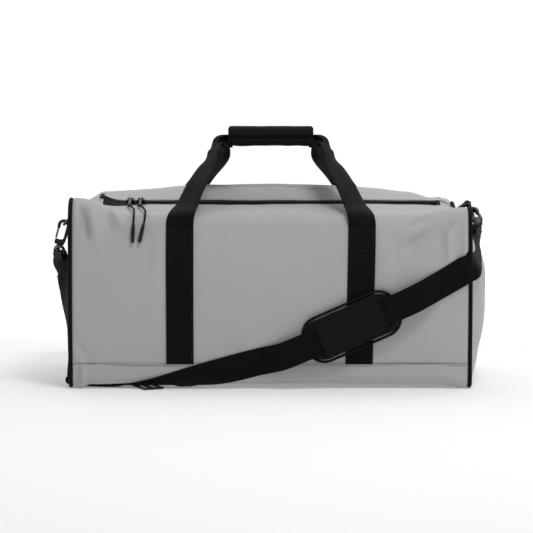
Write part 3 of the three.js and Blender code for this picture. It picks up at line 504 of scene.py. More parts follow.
def fused(name, pieces, voxel, material, passes=3):
    """One rounded body out of overlapping ones, as a moulding is."""
    meshes = bmesh.new()
    for piece in pieces:
        meshes.from_mesh(piece.data)
        bpy.data.objects.remove(piece)
    mesh = bpy.data.meshes.new(name)
    meshes.to_mesh(mesh)
    meshes.free()
    obj = bpy.data.objects.new(name, mesh)
    bpy.context.scene.collection.objects.link(obj)
    mesh.materials.append(material)
    return applied(
        obj,
        ("REMESH", {"mode": "VOXEL", "voxel_size": voxel * MM}),
        ("SMOOTH", {"factor": 0.5, "iterations": passes}),
    )


def block(name, low, high, material):
    """A box, to be fused with others."""
    (x0, y0, z0), (x1, y1, z1) = low, high
    points = [(x, y, z) for x in (x0, x1) for y in (y0, y1) for z in (z0, z1)]
    faces = [(0, 1, 3, 2), (4, 6, 7, 5), (0, 4, 5, 1), (2, 3, 7, 6), (0, 2, 6, 4), (1, 5, 7, 3)]
    return outwards(made(name, points, faces, material))


def placed(obj, matrix):
    obj.data.transform(matrix)
    return obj


def extruded(name, outline, thick, material):
    """An outline in X and Z, made thick along Y about its middle."""
    outline = np.asarray(outline, float)
    rings = np.stack([
        np.column_stack([outline[:, 0], np.full(len(outline), y), outline[:, 1]])
        for y in (-thick / 2, thick / 2)
    ])
    return lofted(name, rings, material)


def arc(cx, cz, radius, start, end, steps=16):
    return [
        (cx + radius * math.cos(a), cz + radius * math.sin(a))
        for a in np.linspace(start, end, steps)
    ]


def stitches(name, line, out, body, pitch=3.4, length=2.3, radius=0.33, material=None):
    """A row of thread stitches along a line on a surface whose outward direction is out."""
    even = evenly(line, max(int(length_of(line) / pitch), 2))
    out = np.asarray(out, float)
    if out.ndim == 1:
        out = np.repeat(out[None], len(even), 0)
    else:
        out = evenly(out, len(even) - 1)
    t = tangents(even)
    up = unit(out - t * (out * t).sum(1, keepdims=True))
    side = np.cross(t, up)
    sides = 6
    angles = np.linspace(0, 2 * np.pi, sides, endpoint=False)
    sections = [(-0.5, 0.25, -0.5), (-0.36, 0.9, 0.2), (0, 1, 0.45), (0.36, 0.9, 0.2), (0.5, 0.25, -0.5)]
    points, faces = [], []
    for middle, along, lifted_way, across in zip(even[:-1], t, up, side):
        first = len(points)
        for share, size, height in sections:
            centre = middle + along * share * length + lifted_way * height * radius
            for a in angles:
                points.append(centre + radius * size * (math.cos(a) * across + math.sin(a) * lifted_way))
        for ring in range(len(sections) - 1):
            for j in range(sides):
                k = (j + 1) % sides
                low = first + ring * sides
                faces.append((low + j, low + k, low + sides + k, low + sides + j))
        faces.append(tuple(range(first + sides - 1, first - 1, -1)))
        last = first + (len(sections) - 1) * sides
        faces.append(tuple(range(last, last + sides)))
    obj = made(name, points, faces, material or THREAD)
    if body:
        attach(obj, body)
    return obj


class Surface:
    """Finds the skin of objects along a straight look, in millimetres."""

    def __init__(self, *objects):
        points, faces = [], []
        for obj in objects:
            first = len(points)
            points += [v.co / MM for v in obj.data.vertices]
            faces += [[first + i for i in p.vertices] for p in obj.data.polygons]
        self.tree = BVHTree.FromPolygons(points, faces)

    def hit(self, start, way):
        found = self.tree.ray_cast(Vector(start), Vector(way))
        return None if found[0] is None else np.array(found[0])

    def face_y(self, x, z, side):
        found = self.hit((x, side * 260, z), (0, -side, 0))
        return found[1] if found is not None else side * FACE

    def top_z(self, x, y):
        found = self.hit((x, y, 420), (0, 0, -1))
        return found[2] if found is not None else ZIP_HEIGHT


# ------------------------------------------------------------------ camera and floor
def make_camera():
    data = bpy.data.cameras.new("camera")
    data.lens = 127.65
    data.sensor_width = 36
    camera = bpy.data.objects.new("camera", data)
    camera.location = (-0.0052, -2.774, 0.355)
    camera.rotation_euler = (math.radians(90 - 4.004), 0, 0)
    bpy.context.scene.collection.objects.link(camera)
    bpy.context.scene.camera = camera


make_camera()


# ------------------------------------------------------------------ materials
class Finish:
    """A material with one Principled shader, and a few steps that add procedural detail."""

    def __init__(self, name, colour, roughness, specular=0.3, metallic=0.0, sheen=0.0):
        self.material = bpy.data.materials.new(name)
        self.material.use_nodes = True
        self.material.diffuse_color = (*colour, 1)
        self.tree = self.material.node_tree
        self.shader = self.tree.nodes["Principled BSDF"]
        self.colour = colour
        self.set("Base Color", (*colour, 1))
        self.set("Roughness", roughness)
        self.set("Specular IOR Level", specular)
        self.set("Metallic", metallic)
        self.set("Sheen Weight", sheen)
        self.set("Sheen Roughness", 0.5)
        self.normal = None

    def set(self, socket, value):
        self.shader.inputs[socket].default_value = value

    def node(self, kind, **settings):
        node = self.tree.nodes.new(kind)
        for key, value in settings.items():
            if key in node.inputs:
                node.inputs[key].default_value = value
            else:
                setattr(node, key, value)
        return node

    def link(self, a, b):
        self.tree.links.new(a, b)

    def math(self, operation, a, b=None, third=None):
        node = self.node("ShaderNodeMath", operation=operation)
        for socket, value in zip(node.inputs, (a, b, third)):
            if value is None:
                continue
            if isinstance(value, (int, float)):
                socket.default_value = value
            else:
                self.link(value, socket)
        return node.outputs[0]

    def place(self):
        return self.node("ShaderNodeTexCoord").outputs["Object"]

    def noise(self, scale, detail=3.0, roughness=0.55):
        node = self.node("ShaderNodeTexNoise", Scale=scale, Detail=detail, Roughness=roughness)
        self.link(self.place(), node.inputs["Vector"])
        return node.outputs["Fac"]

    def cloth(self):
        attribute = self.node("ShaderNodeAttribute", attribute_name="cloth")
        split = self.node("ShaderNodeSeparateXYZ")
        self.link(attribute.outputs["Vector"], split.inputs[0])
        return split.outputs[0], split.outputs[1]

    def waves(self, coordinate, pitch_mm, shift=None):
        turns = self.math("MULTIPLY", coordinate, 2 * math.pi / (pitch_mm * MM))
        if shift is not None:
            turns = self.math("ADD", turns, shift)
        return self.math("MULTIPLY_ADD", self.math("SINE", turns), 0.5, 0.5)

    def bump(self, height, distance_mm, strength=1.0):
        node = self.node("ShaderNodeBump", Strength=strength, Distance=distance_mm * MM)
        self.link(height, node.inputs["Height"])
        if self.normal is not None:
            self.link(self.normal, node.inputs["Normal"])
        self.normal = node.outputs["Normal"]
        self.link(self.normal, self.shader.inputs["Normal"])

    def vary(self, factor, low, high, socket="Base Color"):
        """The socket runs from low to high times its value as factor goes from 0 to 1."""
        ramp = self.node("ShaderNodeMapRange")
        ramp.inputs["To Min"].default_value = low
        ramp.inputs["To Max"].default_value = high
        self.link(factor, ramp.inputs["Value"])
        if socket != "Base Color":
            own = self.shader.inputs[socket].default_value
            self.link(self.math("MULTIPLY", ramp.outputs[0], own), self.shader.inputs[socket])
            return
        mix = self.node("ShaderNodeVectorMath", operation="SCALE")
        mix.inputs[0].default_value = self.colour
        self.link(ramp.outputs[0], mix.inputs["Scale"])
        self.link(mix.outputs[0], self.shader.inputs["Base Color"])


def coated_fabric():
    f = Finish("coated_fabric", (0.43, 0.43, 0.43), 0.62, specular=0.28, sheen=0.05)
    u, v = f.cloth()
    weave = f.math("MULTIPLY", f.waves(u, 0.62), f.waves(v, 0.62))
    cloud = f.noise(9, 4)
    f.vary(f.math("MULTIPLY_ADD", f.noise(420, 2), 0.35, f.math("MULTIPLY", cloud, 0.65)), 0.955, 1.045)
    f.vary(f.noise(30, 3), 0.88, 1.12, "Roughness")
    f.bump(f.noise(42, 3), 0.7, 0.7)
    f.bump(weave, 0.035, 0.8)
    return f.material


def webbing(name="webbing", value=0.0034, rib=1.75, depth=0.3):
    f = Finish(name, (value, value, value * 1.02), 0.62, specular=0.08, sheen=0.0)
    u, v = f.cloth()
    ribs = f.waves(v, rib)
    turn = f.math("MULTIPLY", f.math("FLOOR", f.math("DIVIDE", v, rib * MM)), math.pi)
    yarns = f.waves(u, 1.05, turn)
    f.vary(f.math("MULTIPLY_ADD", ribs, 0.6, f.math("MULTIPLY", f.noise(260, 3), 0.4)), 0.55, 1.5)
    f.bump(f.noise(700, 2), 0.05, 0.6)
    f.bump(yarns, 0.06, 0.7)
    f.bump(ribs, depth, 0.9)
    return f.material


def trim_tape():
    f = Finish("trim_tape", (0.004, 0.004, 0.004), 0.7, specular=0.12)
    u, v = f.cloth()
    f.vary(f.noise(300, 2), 0.6, 1.6)
    f.bump(f.math("MULTIPLY", f.waves(u, 0.8), f.waves(v, 0.8)), 0.07, 0.9)
    f.bump(f.noise(900, 2), 0.03, 0.6)
    return f.material


def padded_fabric():
    f = Finish("padded_fabric", (0.0055, 0.0055, 0.0056), 0.85, specular=0.12, sheen=0.02)
    knit = f.node("ShaderNodeTexVoronoi", Scale=900.0)
    f.link(f.place(), knit.inputs["Vector"])
    f.vary(f.math("MULTIPLY_ADD", f.noise(45, 4), 0.7, f.math("MULTIPLY", f.noise(600, 2), 0.3)), 0.6, 1.55)
    f.bump(f.noise(120, 3), 0.25, 0.5)
    f.bump(knit.outputs["Distance"], 0.12, 0.9)
    return f.material


def moulded(name, value, roughness):
    f = Finish(name, (value, value, value), roughness, specular=0.35)
    f.vary(f.noise(60, 3), 0.8, 1.25)
    f.vary(f.noise(220, 3), 0.85, 1.2, "Roughness")
    f.bump(f.noise(1500, 2), 0.02, 0.7)
    return f.material


def enamelled():
    f = Finish("black_metal", (0.006, 0.006, 0.0065), 0.3, specular=0.5)
    wear = f.noise(180, 5, 0.7)
    f.vary(wear, 0.6, 1.7)
    f.vary(f.noise(90, 3), 0.75, 1.35, "Roughness")
    f.bump(f.noise(400, 3), 0.03, 0.5)
    return f.material


def thread():
    f = Finish("thread", (0.014, 0.014, 0.014), 0.6, specular=0.2)
    f.vary(f.noise(900, 2), 0.6, 1.5)
    f.bump(f.noise(2500, 1), 0.05, 0.8)
    return f.material


def lining_cloth():
    f = Finish("lining_cloth", (0.022, 0.022, 0.024), 0.75, specular=0.2, sheen=0.05)
    u, v = f.cloth()
    f.vary(f.noise(14, 4), 0.8, 1.25)
    f.bump(f.noise(22, 3), 1.2, 0.5)
    f.bump(f.math("MULTIPLY", f.waves(u, 0.5), f.waves(v, 0.5)), 0.05, 0.8)
    return f.material


def board_plastic():
    f = Finish("board_plastic", (0.05, 0.05, 0.052), 0.6, specular=0.3)
    f.vary(f.noise(25, 4), 0.85, 1.2)
    f.bump(f.noise(500, 3), 0.1, 0.8)
    return f.material


def paler_thread():
    f = Finish("paler_thread", (0.33, 0.33, 0.33), 0.6, specular=0.25)
    f.vary(f.noise(900, 2), 0.85, 1.15)
    f.bump(f.noise(2500, 1), 0.05, 0.8)
    return f.material


FABRIC_CLOTH = coated_fabric()
WEBBING = webbing()
TAPE = trim_tape()
PAD_CLOTH = padded_fabric()
PLASTIC = moulded("satin_plastic", 0.006, 0.34)
RUBBER = moulded("moulded_grip", 0.006, 0.5)
METAL = enamelled()
THREAD = thread()
FABRIC_THREAD = paler_thread()
LINING = lining_cloth()
BOARD = board_plastic()


def finish_piece(obj, body=None, replaces=()):
    if replaces:
        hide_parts(*replaces)
    if body:
        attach(obj, body)
    return obj


# ------------------------------------------------------------------ the outline, asked for a place
def outline(x, count=150):
    front = through(front_path(x), np.linspace(0, 1, count))
    rear = through(rear_path(x), np.linspace(0, 1, count))
    return front, rear


def mound(x, y, middle, reach, height):
    return height * np.exp(-(((x - middle[0]) / reach[0]) ** 2) - ((y - middle[1]) / reach[1]) ** 2)


def heave(x, y):
    """The top stands up round the zip's left end and two corners, and falls at its right end."""
    rise = mound(x, y, (-248, -34), (19, 21), 10) + mound(x, y, (-247, -96), (13, 34), 3)
    rise = rise + mound(x, y, (264, 128), (16, 44), 5)
    fall = smooth(x, 150, 215) * 2.5 + 7 * smooth(x, 206, 240) * (1 - smooth(x, 244, 262))
    return rise - fall * smooth(y, -30, -5) * (1 - smooth(y, 112, 138))


def top_z(x, y):
    front, rear = outline(x)
    whole = np.concatenate([front, rear])
    whole = whole[whole[:, 1] > SEAM_HEIGHT + CREASE_HEIGHT / 2]
    order = np.argsort(whole[:, 0])
    return float(np.interp(y, whole[order, 0], whole[order, 1]) + heave(x, y))


def face_y(x, z, side):
    points = outline(x)[0 if side < 0 else 1]
    low = points[points[:, 0] * side > FACE - 40]
    order = np.argsort(low[:, 1])
    return float(np.interp(z, low[order, 1], low[order, 0]))


# ------------------------------------------------------------------ zip sliders, pulls and their cords
ZIP_SLOPE = math.atan2(6, 2 * ZIP_HALF)
SLIDER_SLOPE = 0.75 * ZIP_SLOPE
STUB_LENGTH = 4.4
TAB_LENGTH = 25
RING_RADIUS = 3.1
RING_WIRE = 0.9
RING_TILT = 0.4
PULL_ENDS = {"left": (12, -1.5), "right": (12.5, -7.5)}


def slider_pieces(name):
    x = SLIDER_PLACES[name]
    seat_z = top_z(x, ZIP_LINE) + 1.7
    half_x, half_y = SLIDER_LENGTH / 2, SLIDER_WIDTH / 2
    plate = block("plate", (-half_x, -half_y, 0), (half_x, half_y, SLIDER_HEIGHT), METAL)
    bridge = block("bridge", (-3.4, -1.3, SLIDER_HEIGHT - 0.5), (3.4, 1.3, SLIDER_HEIGHT + 2.4), METAL)
    low, high = SLIDER_HEIGHT + 1.1, SLIDER_HEIGHT + 2.3
    stub = block("stub", (-1.6, -half_y - STUB_LENGTH, low), (1.6, 0, high), METAL)
    slider = fused(f"slider_{name}", [plate, bridge, stub], 0.35, METAL, 4)
    hinge = -half_y - STUB_LENGTH - GAP
    tab = block("tab", (-1.6, -half_y - TAB_LENGTH, low), (1.6, hinge, high), METAL)
    tab = fused(f"pull_tab_{name}", [tab], 0.35, METAL, 4)
    at = Matrix.Translation(Vector((x, ZIP_LINE, seat_z)) * MM) @ Matrix.Rotation(SLIDER_SLOPE, 4, "X")
    placed(slider, at)
    finish_piece(slider, f"slider_{name}", [f"zip_slider_{name}"])
    placed(tab, at)
    finish_piece(tab, f"pull_{name}")

    tab_end = (half_y + TAB_LENGTH) * math.cos(SLIDER_SLOPE)
    ring_y = ZIP_LINE - tab_end - RING_RADIUS - RING_WIRE - GAP
    ring_z = top_z(x, ring_y) + 2.6
    turn = np.linspace(0, 2 * math.pi, 40, endpoint=False)
    loop = np.column_stack([
        x + RING_RADIUS * np.cos(turn),
        ring_y + RING_RADIUS * np.sin(turn) * math.cos(RING_TILT),
        ring_z + RING_RADIUS * np.sin(turn) * math.sin(RING_TILT),
    ])
    ring = tube(f"pull_ring_{name}", loop, RING_WIRE, METAL, sides=10, closed=True)
    finish_piece(ring, f"pull_{name}", [f"pull_ring_{name}"])

    swing, hang = PULL_ENDS[name]
    crease_y = -FACE + 19
    grip_top_z = CREASE_HEIGHT - 12.6

    def at_face(z):
        return face_y(x, z, -1) - PULL_GRIP / 2 - GAP - 2.2

    def rest(y, up):
        return [x + swing * float(smooth(-y, 50, 140)), y, top_z(x, y) + up + 0.9]

    start_y = ring_y - RING_RADIUS * math.cos(RING_TILT) - RING_WIRE - GAP - PULL_CORD / 2
    start = [x, start_y, ring_z - RING_RADIUS * math.sin(RING_TILT) + 0.6]
    route = through([
        start,
        rest(-88, 3.4),
        rest(-102, 3.6),
        rest(-115, 3.6),
        rest(crease_y + 4, 4.0),
        [x + swing, crease_y - 9, top_z(x, crease_y) - 1],
        [x + swing + 0.2 * hang, at_face(grip_top_z) - 1, grip_top_z],
    ], np.linspace(0, 1, 200))
    route = evenly(route, 90)
    cord = tube(f"pull_cord_{name}", route, PULL_CORD / 2, TAPE, sides=12)
    top = np.array([x + swing + 0.2 * hang, at_face(grip_top_z) - 1, grip_top_z + 1.5])
    grip_low_z = grip_top_z - PULL_GRIP_LENGTH
    end = np.array([x + swing + hang, at_face(grip_low_z), grip_low_z])
    shares = [0, 0.03, 0.08, 0.2, 0.5, 0.8, 0.93, 0.98, 1]
    sizes = [0.5, 0.7, 0.82, 0.92, 1, 0.95, 0.9, 0.75, 0.5]
    fine = np.linspace(0, 1, 40)
    size = np.interp(fine, shares, sizes) * (1 + 0.03 * np.sin(fine * 60) * (abs(fine - 0.5) < 0.34))
    line = top + fine[:, None] * (end - top)
    grip = tube(f"pull_grip_{name}", line, PULL_GRIP / 2 * size, RUBBER, sides=20)
    flatten = Matrix.Translation(Vector(line[20] * MM)) @ Matrix.Diagonal((1, 0.8, 1, 1))
    placed(grip, flatten @ Matrix.Translation(Vector(-line[20] * MM)))
    finish_piece(grip, f"pull_{name}", [f"pull_grip_{name}"])
    finish_piece(cord, f"pull_{name}", [f"pull_cord_{name}"])


for end in WAYS:
    slider_pieces(end)


# ------------------------------------------------------------------ the bag's fabric
def along_bag(count):
    """Places along the bag, closer together towards its ends."""
    s = np.linspace(-1, 1, count)
    return PANEL_END * (0.62 * s + 0.38 * np.sin(s * math.pi / 2))


def skin(path, xs, count, first, last, seed):
    grid = np.stack([profile(path, x, count, first, last) for x in xs])
    grid[..., 2] += heave(grid[..., 0], grid[..., 1]) * smooth(grid[..., 2], 225, 246)
    return folded(grid, seed)


def panel_of(name, grid, material=FABRIC_CLOTH):
    inner = grid - normals_of(grid, np.array([0.0, 0.0, 120.0])) * FABRIC
    return shell(name, grid, inner, material)


def mouth_window(x):
    """How far the mouth opens along the bag: it is shut at the zip's ends."""
    return smooth(x, -214, -60) * (1 - smooth(x, 80, 238))


def open_with(obj, flap, side):
    """The fabric bends from the bag to a flap of the mouth, most at mid length."""
    if side < 0:
        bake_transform(obj, "bag", flap, start=(0, -0.112, 0.245), end=(0, -0.074, 0.25))
    else:
        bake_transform(obj, "bag", flap, start=(0, 0.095, 0.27), end=(0, 0.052, 0.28))
    weights = obj.data.attributes["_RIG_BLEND"]
    values = np.zeros(len(obj.data.vertices), np.float32)
    weights.data.foreach_get("value", values)
    places = np.zeros(len(obj.data.vertices) * 3, np.float32)
    obj.data.vertices.foreach_get("co", places)
    values *= mouth_window(places.reshape(-1, 3)[:, 0] / MM)
    weights.data.foreach_set("value", values.astype(np.float32))


XS = along_bag(190)
front_grid = skin(front_path, XS, 112, 0, 10, 3)
rear_grid = skin(rear_path, XS, 132, 1, 15, 7)
base_grid = np.stack([
    np.column_stack([np.full(97, x), evenly(base_path(x), 96)]) for x in XS
])
base_grid = folded(base_grid, 11)
base_grid[..., 2] = np.maximum(base_grid[..., 2], 0.15)

front = panel_of("front_fabric", front_grid)
rear = panel_of("rear_fabric", rear_grid)
base = panel_of("base_fabric", base_grid)
finish_piece(front, None, ["front_panel", "mouth_flap_front"])
finish_piece(rear, None, ["rear_panel", "mouth_flap_rear"])
finish_piece(base, "bag", ["base_panel"])
SKIN = Surface(front, rear, base)
open_with(front, "flap_front", -1)
open_with(rear, "flap_rear", 1)

# Beyond each end of the zip the fabric runs across, under the end of the tape.
for name, way in WAYS.items():
    reach = np.linspace(way * (ZIP_REACH - 4), way * PANEL_END, 26)
    rows = []
    for x in reach:
        low, high = top_z(x, ZIP_LINE - ZIP_HALF), top_z(x, ZIP_LINE + ZIP_HALF)
        y = np.linspace(ZIP_LINE - ZIP_HALF - 2, ZIP_LINE + ZIP_HALF + 2, 15)
        z = np.interp(y, [ZIP_LINE - ZIP_HALF, ZIP_LINE + ZIP_HALF], [low, high])
        rows.append(np.column_stack([np.full(15, x), y, z - 0.9]))
    rows = np.array(rows)
    rows[..., 2] -= 2.2 * smooth(np.abs(rows[..., 0]), PANEL_END - 5, PANEL_END + 1)
    patch = shell(f"mouth_end_{name}", rows, rows - [0, 0, 1.2], FABRIC_CLOTH)
    finish_piece(patch, "bag")


def end_outline(x, inset, count=220):
    front_part, rear_part = outline(x, 120)
    whole = np.concatenate([front_part, rear_part[1:], base_path(x)[::-1][1:-1]])
    closed = evenly(np.vstack([whole, whole[:1]]), count)[:-1]
    closed = np.column_stack([np.full(len(closed), x), closed])
    t = tangents(closed, closed=True)
    inward = np.column_stack([np.zeros(len(t)), t[:, 2], -t[:, 1]])
    return closed + inward * inset


def bulge(side, y, z):
    across = np.maximum(1 - (y / (FACE + 3)) ** 2, 0) ** 0.75
    v = np.clip(z / CREASE_HEIGHT, 0, 1)
    if side > 0:
        full, fade = 0.55 + 0.45 * smooth(v, 0, 0.45), 0.6
    else:
        full, fade = 0.1 + 0.66 * smooth(v, 0, 0.7), 0.66
        full = full * lerp(0.12, 1, smooth(y, -45, 70))
    return END_BULGE * across * full * (1 - smooth(v, fade, 1) ** 1.5)


END_FOLDS = {
    "left": [
        ([(-300, -110, 190), (-300, -60, 90)], 9, -2.0),
        ([(-300, 90, 200), (-300, 50, 110)], 9, -1.6),
        ([(-290, -125, 235), (-292, -60, 215)], 7, 1.6),
        ([(-296, 20, 60), (-296, 110, 25)], 10, -1.4),
    ],
    "right": [
        ([(288, -136, 168), (302, -62, 204)], 24, -3.6),
        ([(305, -118, 170), (308, -60, 110)], 9, -1.6),
        ([(300, 100, 215), (308, 60, 130)], 9, -1.8),
        ([(292, -100, 240), (298, 20, 222)], 7, 1.8),
        ([(300, -110, 40), (308, 0, 70)], 12, -1.6),
    ],
}
for name, way in WAYS.items():
    ring = end_outline(way * HALF, PIPING_RADIUS)
    piping = tube(f"piping_{name}", ring, PIPING_RADIUS, TAPE, sides=12, closed=True)
    finish_piece(piping, "bag", [f"piping_{name}"])

    rim = end_outline(way * HALF, 2 * PIPING_RADIUS + 0.2)
    middle = np.array([way * HALF, 0, CREASE_HEIGHT / 2])
    shares = np.sin(np.linspace(0.03, 1, 46) * math.pi / 2)
    rings = []
    for share in shares:
        points = middle + share * (rim - middle)
        out = bulge(way, points[:, 1], points[:, 2]) * (1 - share**8)
        slack = ripples(points, 110, 0.7, 21) + ripples(points, 34, 0.2, 22)
        for ends, width, height in END_FOLDS[name]:
            moved = points + [[way * 1.0, 0, 0]] * out[:, None]
            slack = slack + ridge(moved, ends, width, height)
        points[:, 0] += way * (out + 1 + slack * (1 - share**10))
        rings.append(points)
    rings = np.array(rings)
    inner = rings[::-1].copy()
    inner[..., 0] -= way * FABRIC
    rings = np.concatenate([rings, inner])
    panel = lofted(f"end_fabric_{name}", rings, FABRIC_CLOTH, cloth=rings[..., 1:].reshape(-1, 2))
    finish_piece(panel, "bag", [f"end_panel_{name}"])

# The sewn seam between the front or rear and the base.
for name, side in SIDES.items():
    xs = np.linspace(-PANEL_END + 3, PANEL_END - 3, 200)
    seam_z = SEAM_HEIGHT + 2.6
    seam = np.array([[x, SKIN.face_y(x, seam_z, side) + side * 0.1, seam_z] for x in xs])
    row = stitches(f"base_seam_{name}", seam, (0, side, 0), "bag", 3.8, 2.7, 0.3, FABRIC_THREAD)
    cord_line = np.array([[x, SKIN.face_y(x, SEAM_HEIGHT, side) - side * 0.2, SEAM_HEIGHT] for x in xs])
    welt = tube(f"base_welt_{name}", cord_line, 0.75, FABRIC_CLOTH, sides=8)
    finish_piece(welt, "bag")

# A line of stitching where the front turns into the top.
crease_xs = np.linspace(-100, 100, 120)
crease_line = np.array([[x, -129.5, SKIN.top_z(x, -129.5) + 0.1] for x in crease_xs])
row = stitches("crease_stitches", crease_line, (0, -0.5, 0.85), "bag", 3.8, 2.7, 0.2, FABRIC_THREAD)

# ------------------------------------------------------------------ the zip
ZIP_END = ZIP_REACH - 4.7
zip_xs = np.linspace(-ZIP_END, ZIP_END, 240)


def zip_strip(name, y0, y1, over, thick, material, columns):
    share = np.linspace(0, 1, columns)
    rows = np.array([
        [[x, lerp(y0, y1, s), top_z(x, lerp(y0, y1, s)) + over] for s in share] for x in zip_xs
    ])
    return shell(name, rows, rows - [0, 0, thick], material)


def teeth(name, side):
    """The coil: one small loop of nylon after another, sewn to the tape."""
    points, faces = [], []
    pitch, sides = 1.6, 6
    turn = np.linspace(0, 2 * math.pi, sides, endpoint=False)
    y_in, y_out = ZIP_LINE + side * 0.1, ZIP_LINE + side * 2.3
    for x in np.arange(-ZIP_END, ZIP_END, pitch):
        shift = 0 if side < 0 else pitch / 2
        z = top_z(x, ZIP_LINE) + 0.1
        first = len(points)
        for share, rise in ((0, -0.2), (0.3, 0.45), (0.8, 0.45), (1, -0.5)):
            y = lerp(y_in, y_out, share)
            for a in turn:
                points.append((x + shift + 0.55 * math.cos(a), y, z + rise + 0.45 * math.sin(a)))
        for ring in range(3):
            for j in range(sides):
                k = (j + 1) % sides
                low = first + ring * sides
                faces.append((low + j, low + k, low + sides + k, low + sides + j))
        faces.append(tuple(range(first + sides - 1, first - 1, -1)))
        faces.append(tuple(range(first + 3 * sides, first + 4 * sides)))
    return made(name, points, faces, PLASTIC)


for name, side in SIDES.items():
    flap = f"flap_{name}"
    edge = ZIP_LINE + side * (ZIP_HALF + 2.5)
    inner_edge = ZIP_LINE + side * 1.2
    tape = zip_strip(f"zip_tape_{name}", edge, inner_edge, -0.55, 0.8, TAPE, 9)
    finish_piece(tape, None, [f"zip_tape_{name}"])
    open_with(tape, flap, side)
    coil = teeth(f"zip_coil_{name}", side)
    finish_piece(coil, None, [f"zip_coil_{name}"])
    open_with(coil, flap, side)
    hem_y = ZIP_LINE + side * (ZIP_HALF + 2.2)
    hem = np.array([[x, hem_y, SKIN.top_z(x, hem_y) + 0.05] for x in zip_xs])
    row = stitches(f"zip_stitches_{name}", hem, (0, 0, 1), None, 3.4, 2.3, 0.28, FABRIC_THREAD)
    finish_piece(row)
    open_with(row, flap, side)

cover = []
for x in np.linspace(-ZIP_END, -178, 60):
    reach = 4 + 12 * (1 - float(smooth(x, -238, -180)))
    cover.append([
        [x, y, max(top_z(x, y), SKIN.top_z(x, y)) + 0.35]
        for y in np.linspace(ZIP_LINE - 2.6, ZIP_LINE - ZIP_HALF - reach, 12)
    ])
cover = np.array(cover)
cover_places = cover[..., :2] - [0, ZIP_LINE]
zip_cover = shell("zip_cover", cover + [0, 0, 0.5], cover - [0, 0, 0.3], TAPE, cloth=cover_places)
finish_piece(zip_cover)
open_with(zip_cover, "flap_front", -1)

for name, way in WAYS.items():
    low, high = sorted((way * (ZIP_REACH - 5), way * (ZIP_REACH + 1)))
    z = top_z((low + high) / 2, ZIP_LINE)
    stop = block("stop", (-3, -ZIP_HALF - 1, -0.5), (3, ZIP_HALF + 1, 0.9), TAPE)
    stop = fused(f"zip_stop_{name}", [stop], 0.4, TAPE, 2)
    at = Matrix.Translation(Vector(((low + high) / 2, ZIP_LINE, z)) * MM)
    at = at @ Matrix.Rotation(ZIP_SLOPE * 0.6, 4, "X")
    placed(stop, at)
    finish_piece(stop, "bag", [f"zip_stop_{name}"])


# ------------------------------------------------------------------ the handles
def handle_middle(way, z):
    lean = 4 if way > 0 else 0
    return GRIP_X + way * HANDLE_SPACING / 2 - lean * (STITCH_TOP - z) / (STITCH_TOP - SEAM_HEIGHT)


RISER_ROUTES = {
    "front": [[117.5, 112, 258], [107, 81, 281], [86.5, 26, 320], [81, 14, 334]],
    "rear": [[118, 119, 267], [103, 86, 289], [75, 24, 322], [71, 13, 334]],
}
RISER_TURNS = {
    "front": [0, 0, 12, 40, 52, 80, 86, 90, 90, 90],
    "rear": [0, 0, 6, 18, 34, 76, 84, 90, 90, 90],
}
TOP_FACE = {"front": LAYER_STEP / 2, "rear": -LAYER_STEP / 2}


def ramp(values, t):
    values = np.asarray(values, float)
    at = np.clip(t, 0, 1) * (len(values) - 1)
    i = np.minimum(at.astype(int), len(values) - 2)
    return values[i] + (values[i + 1] - values[i]) * (at - i)[:, None]


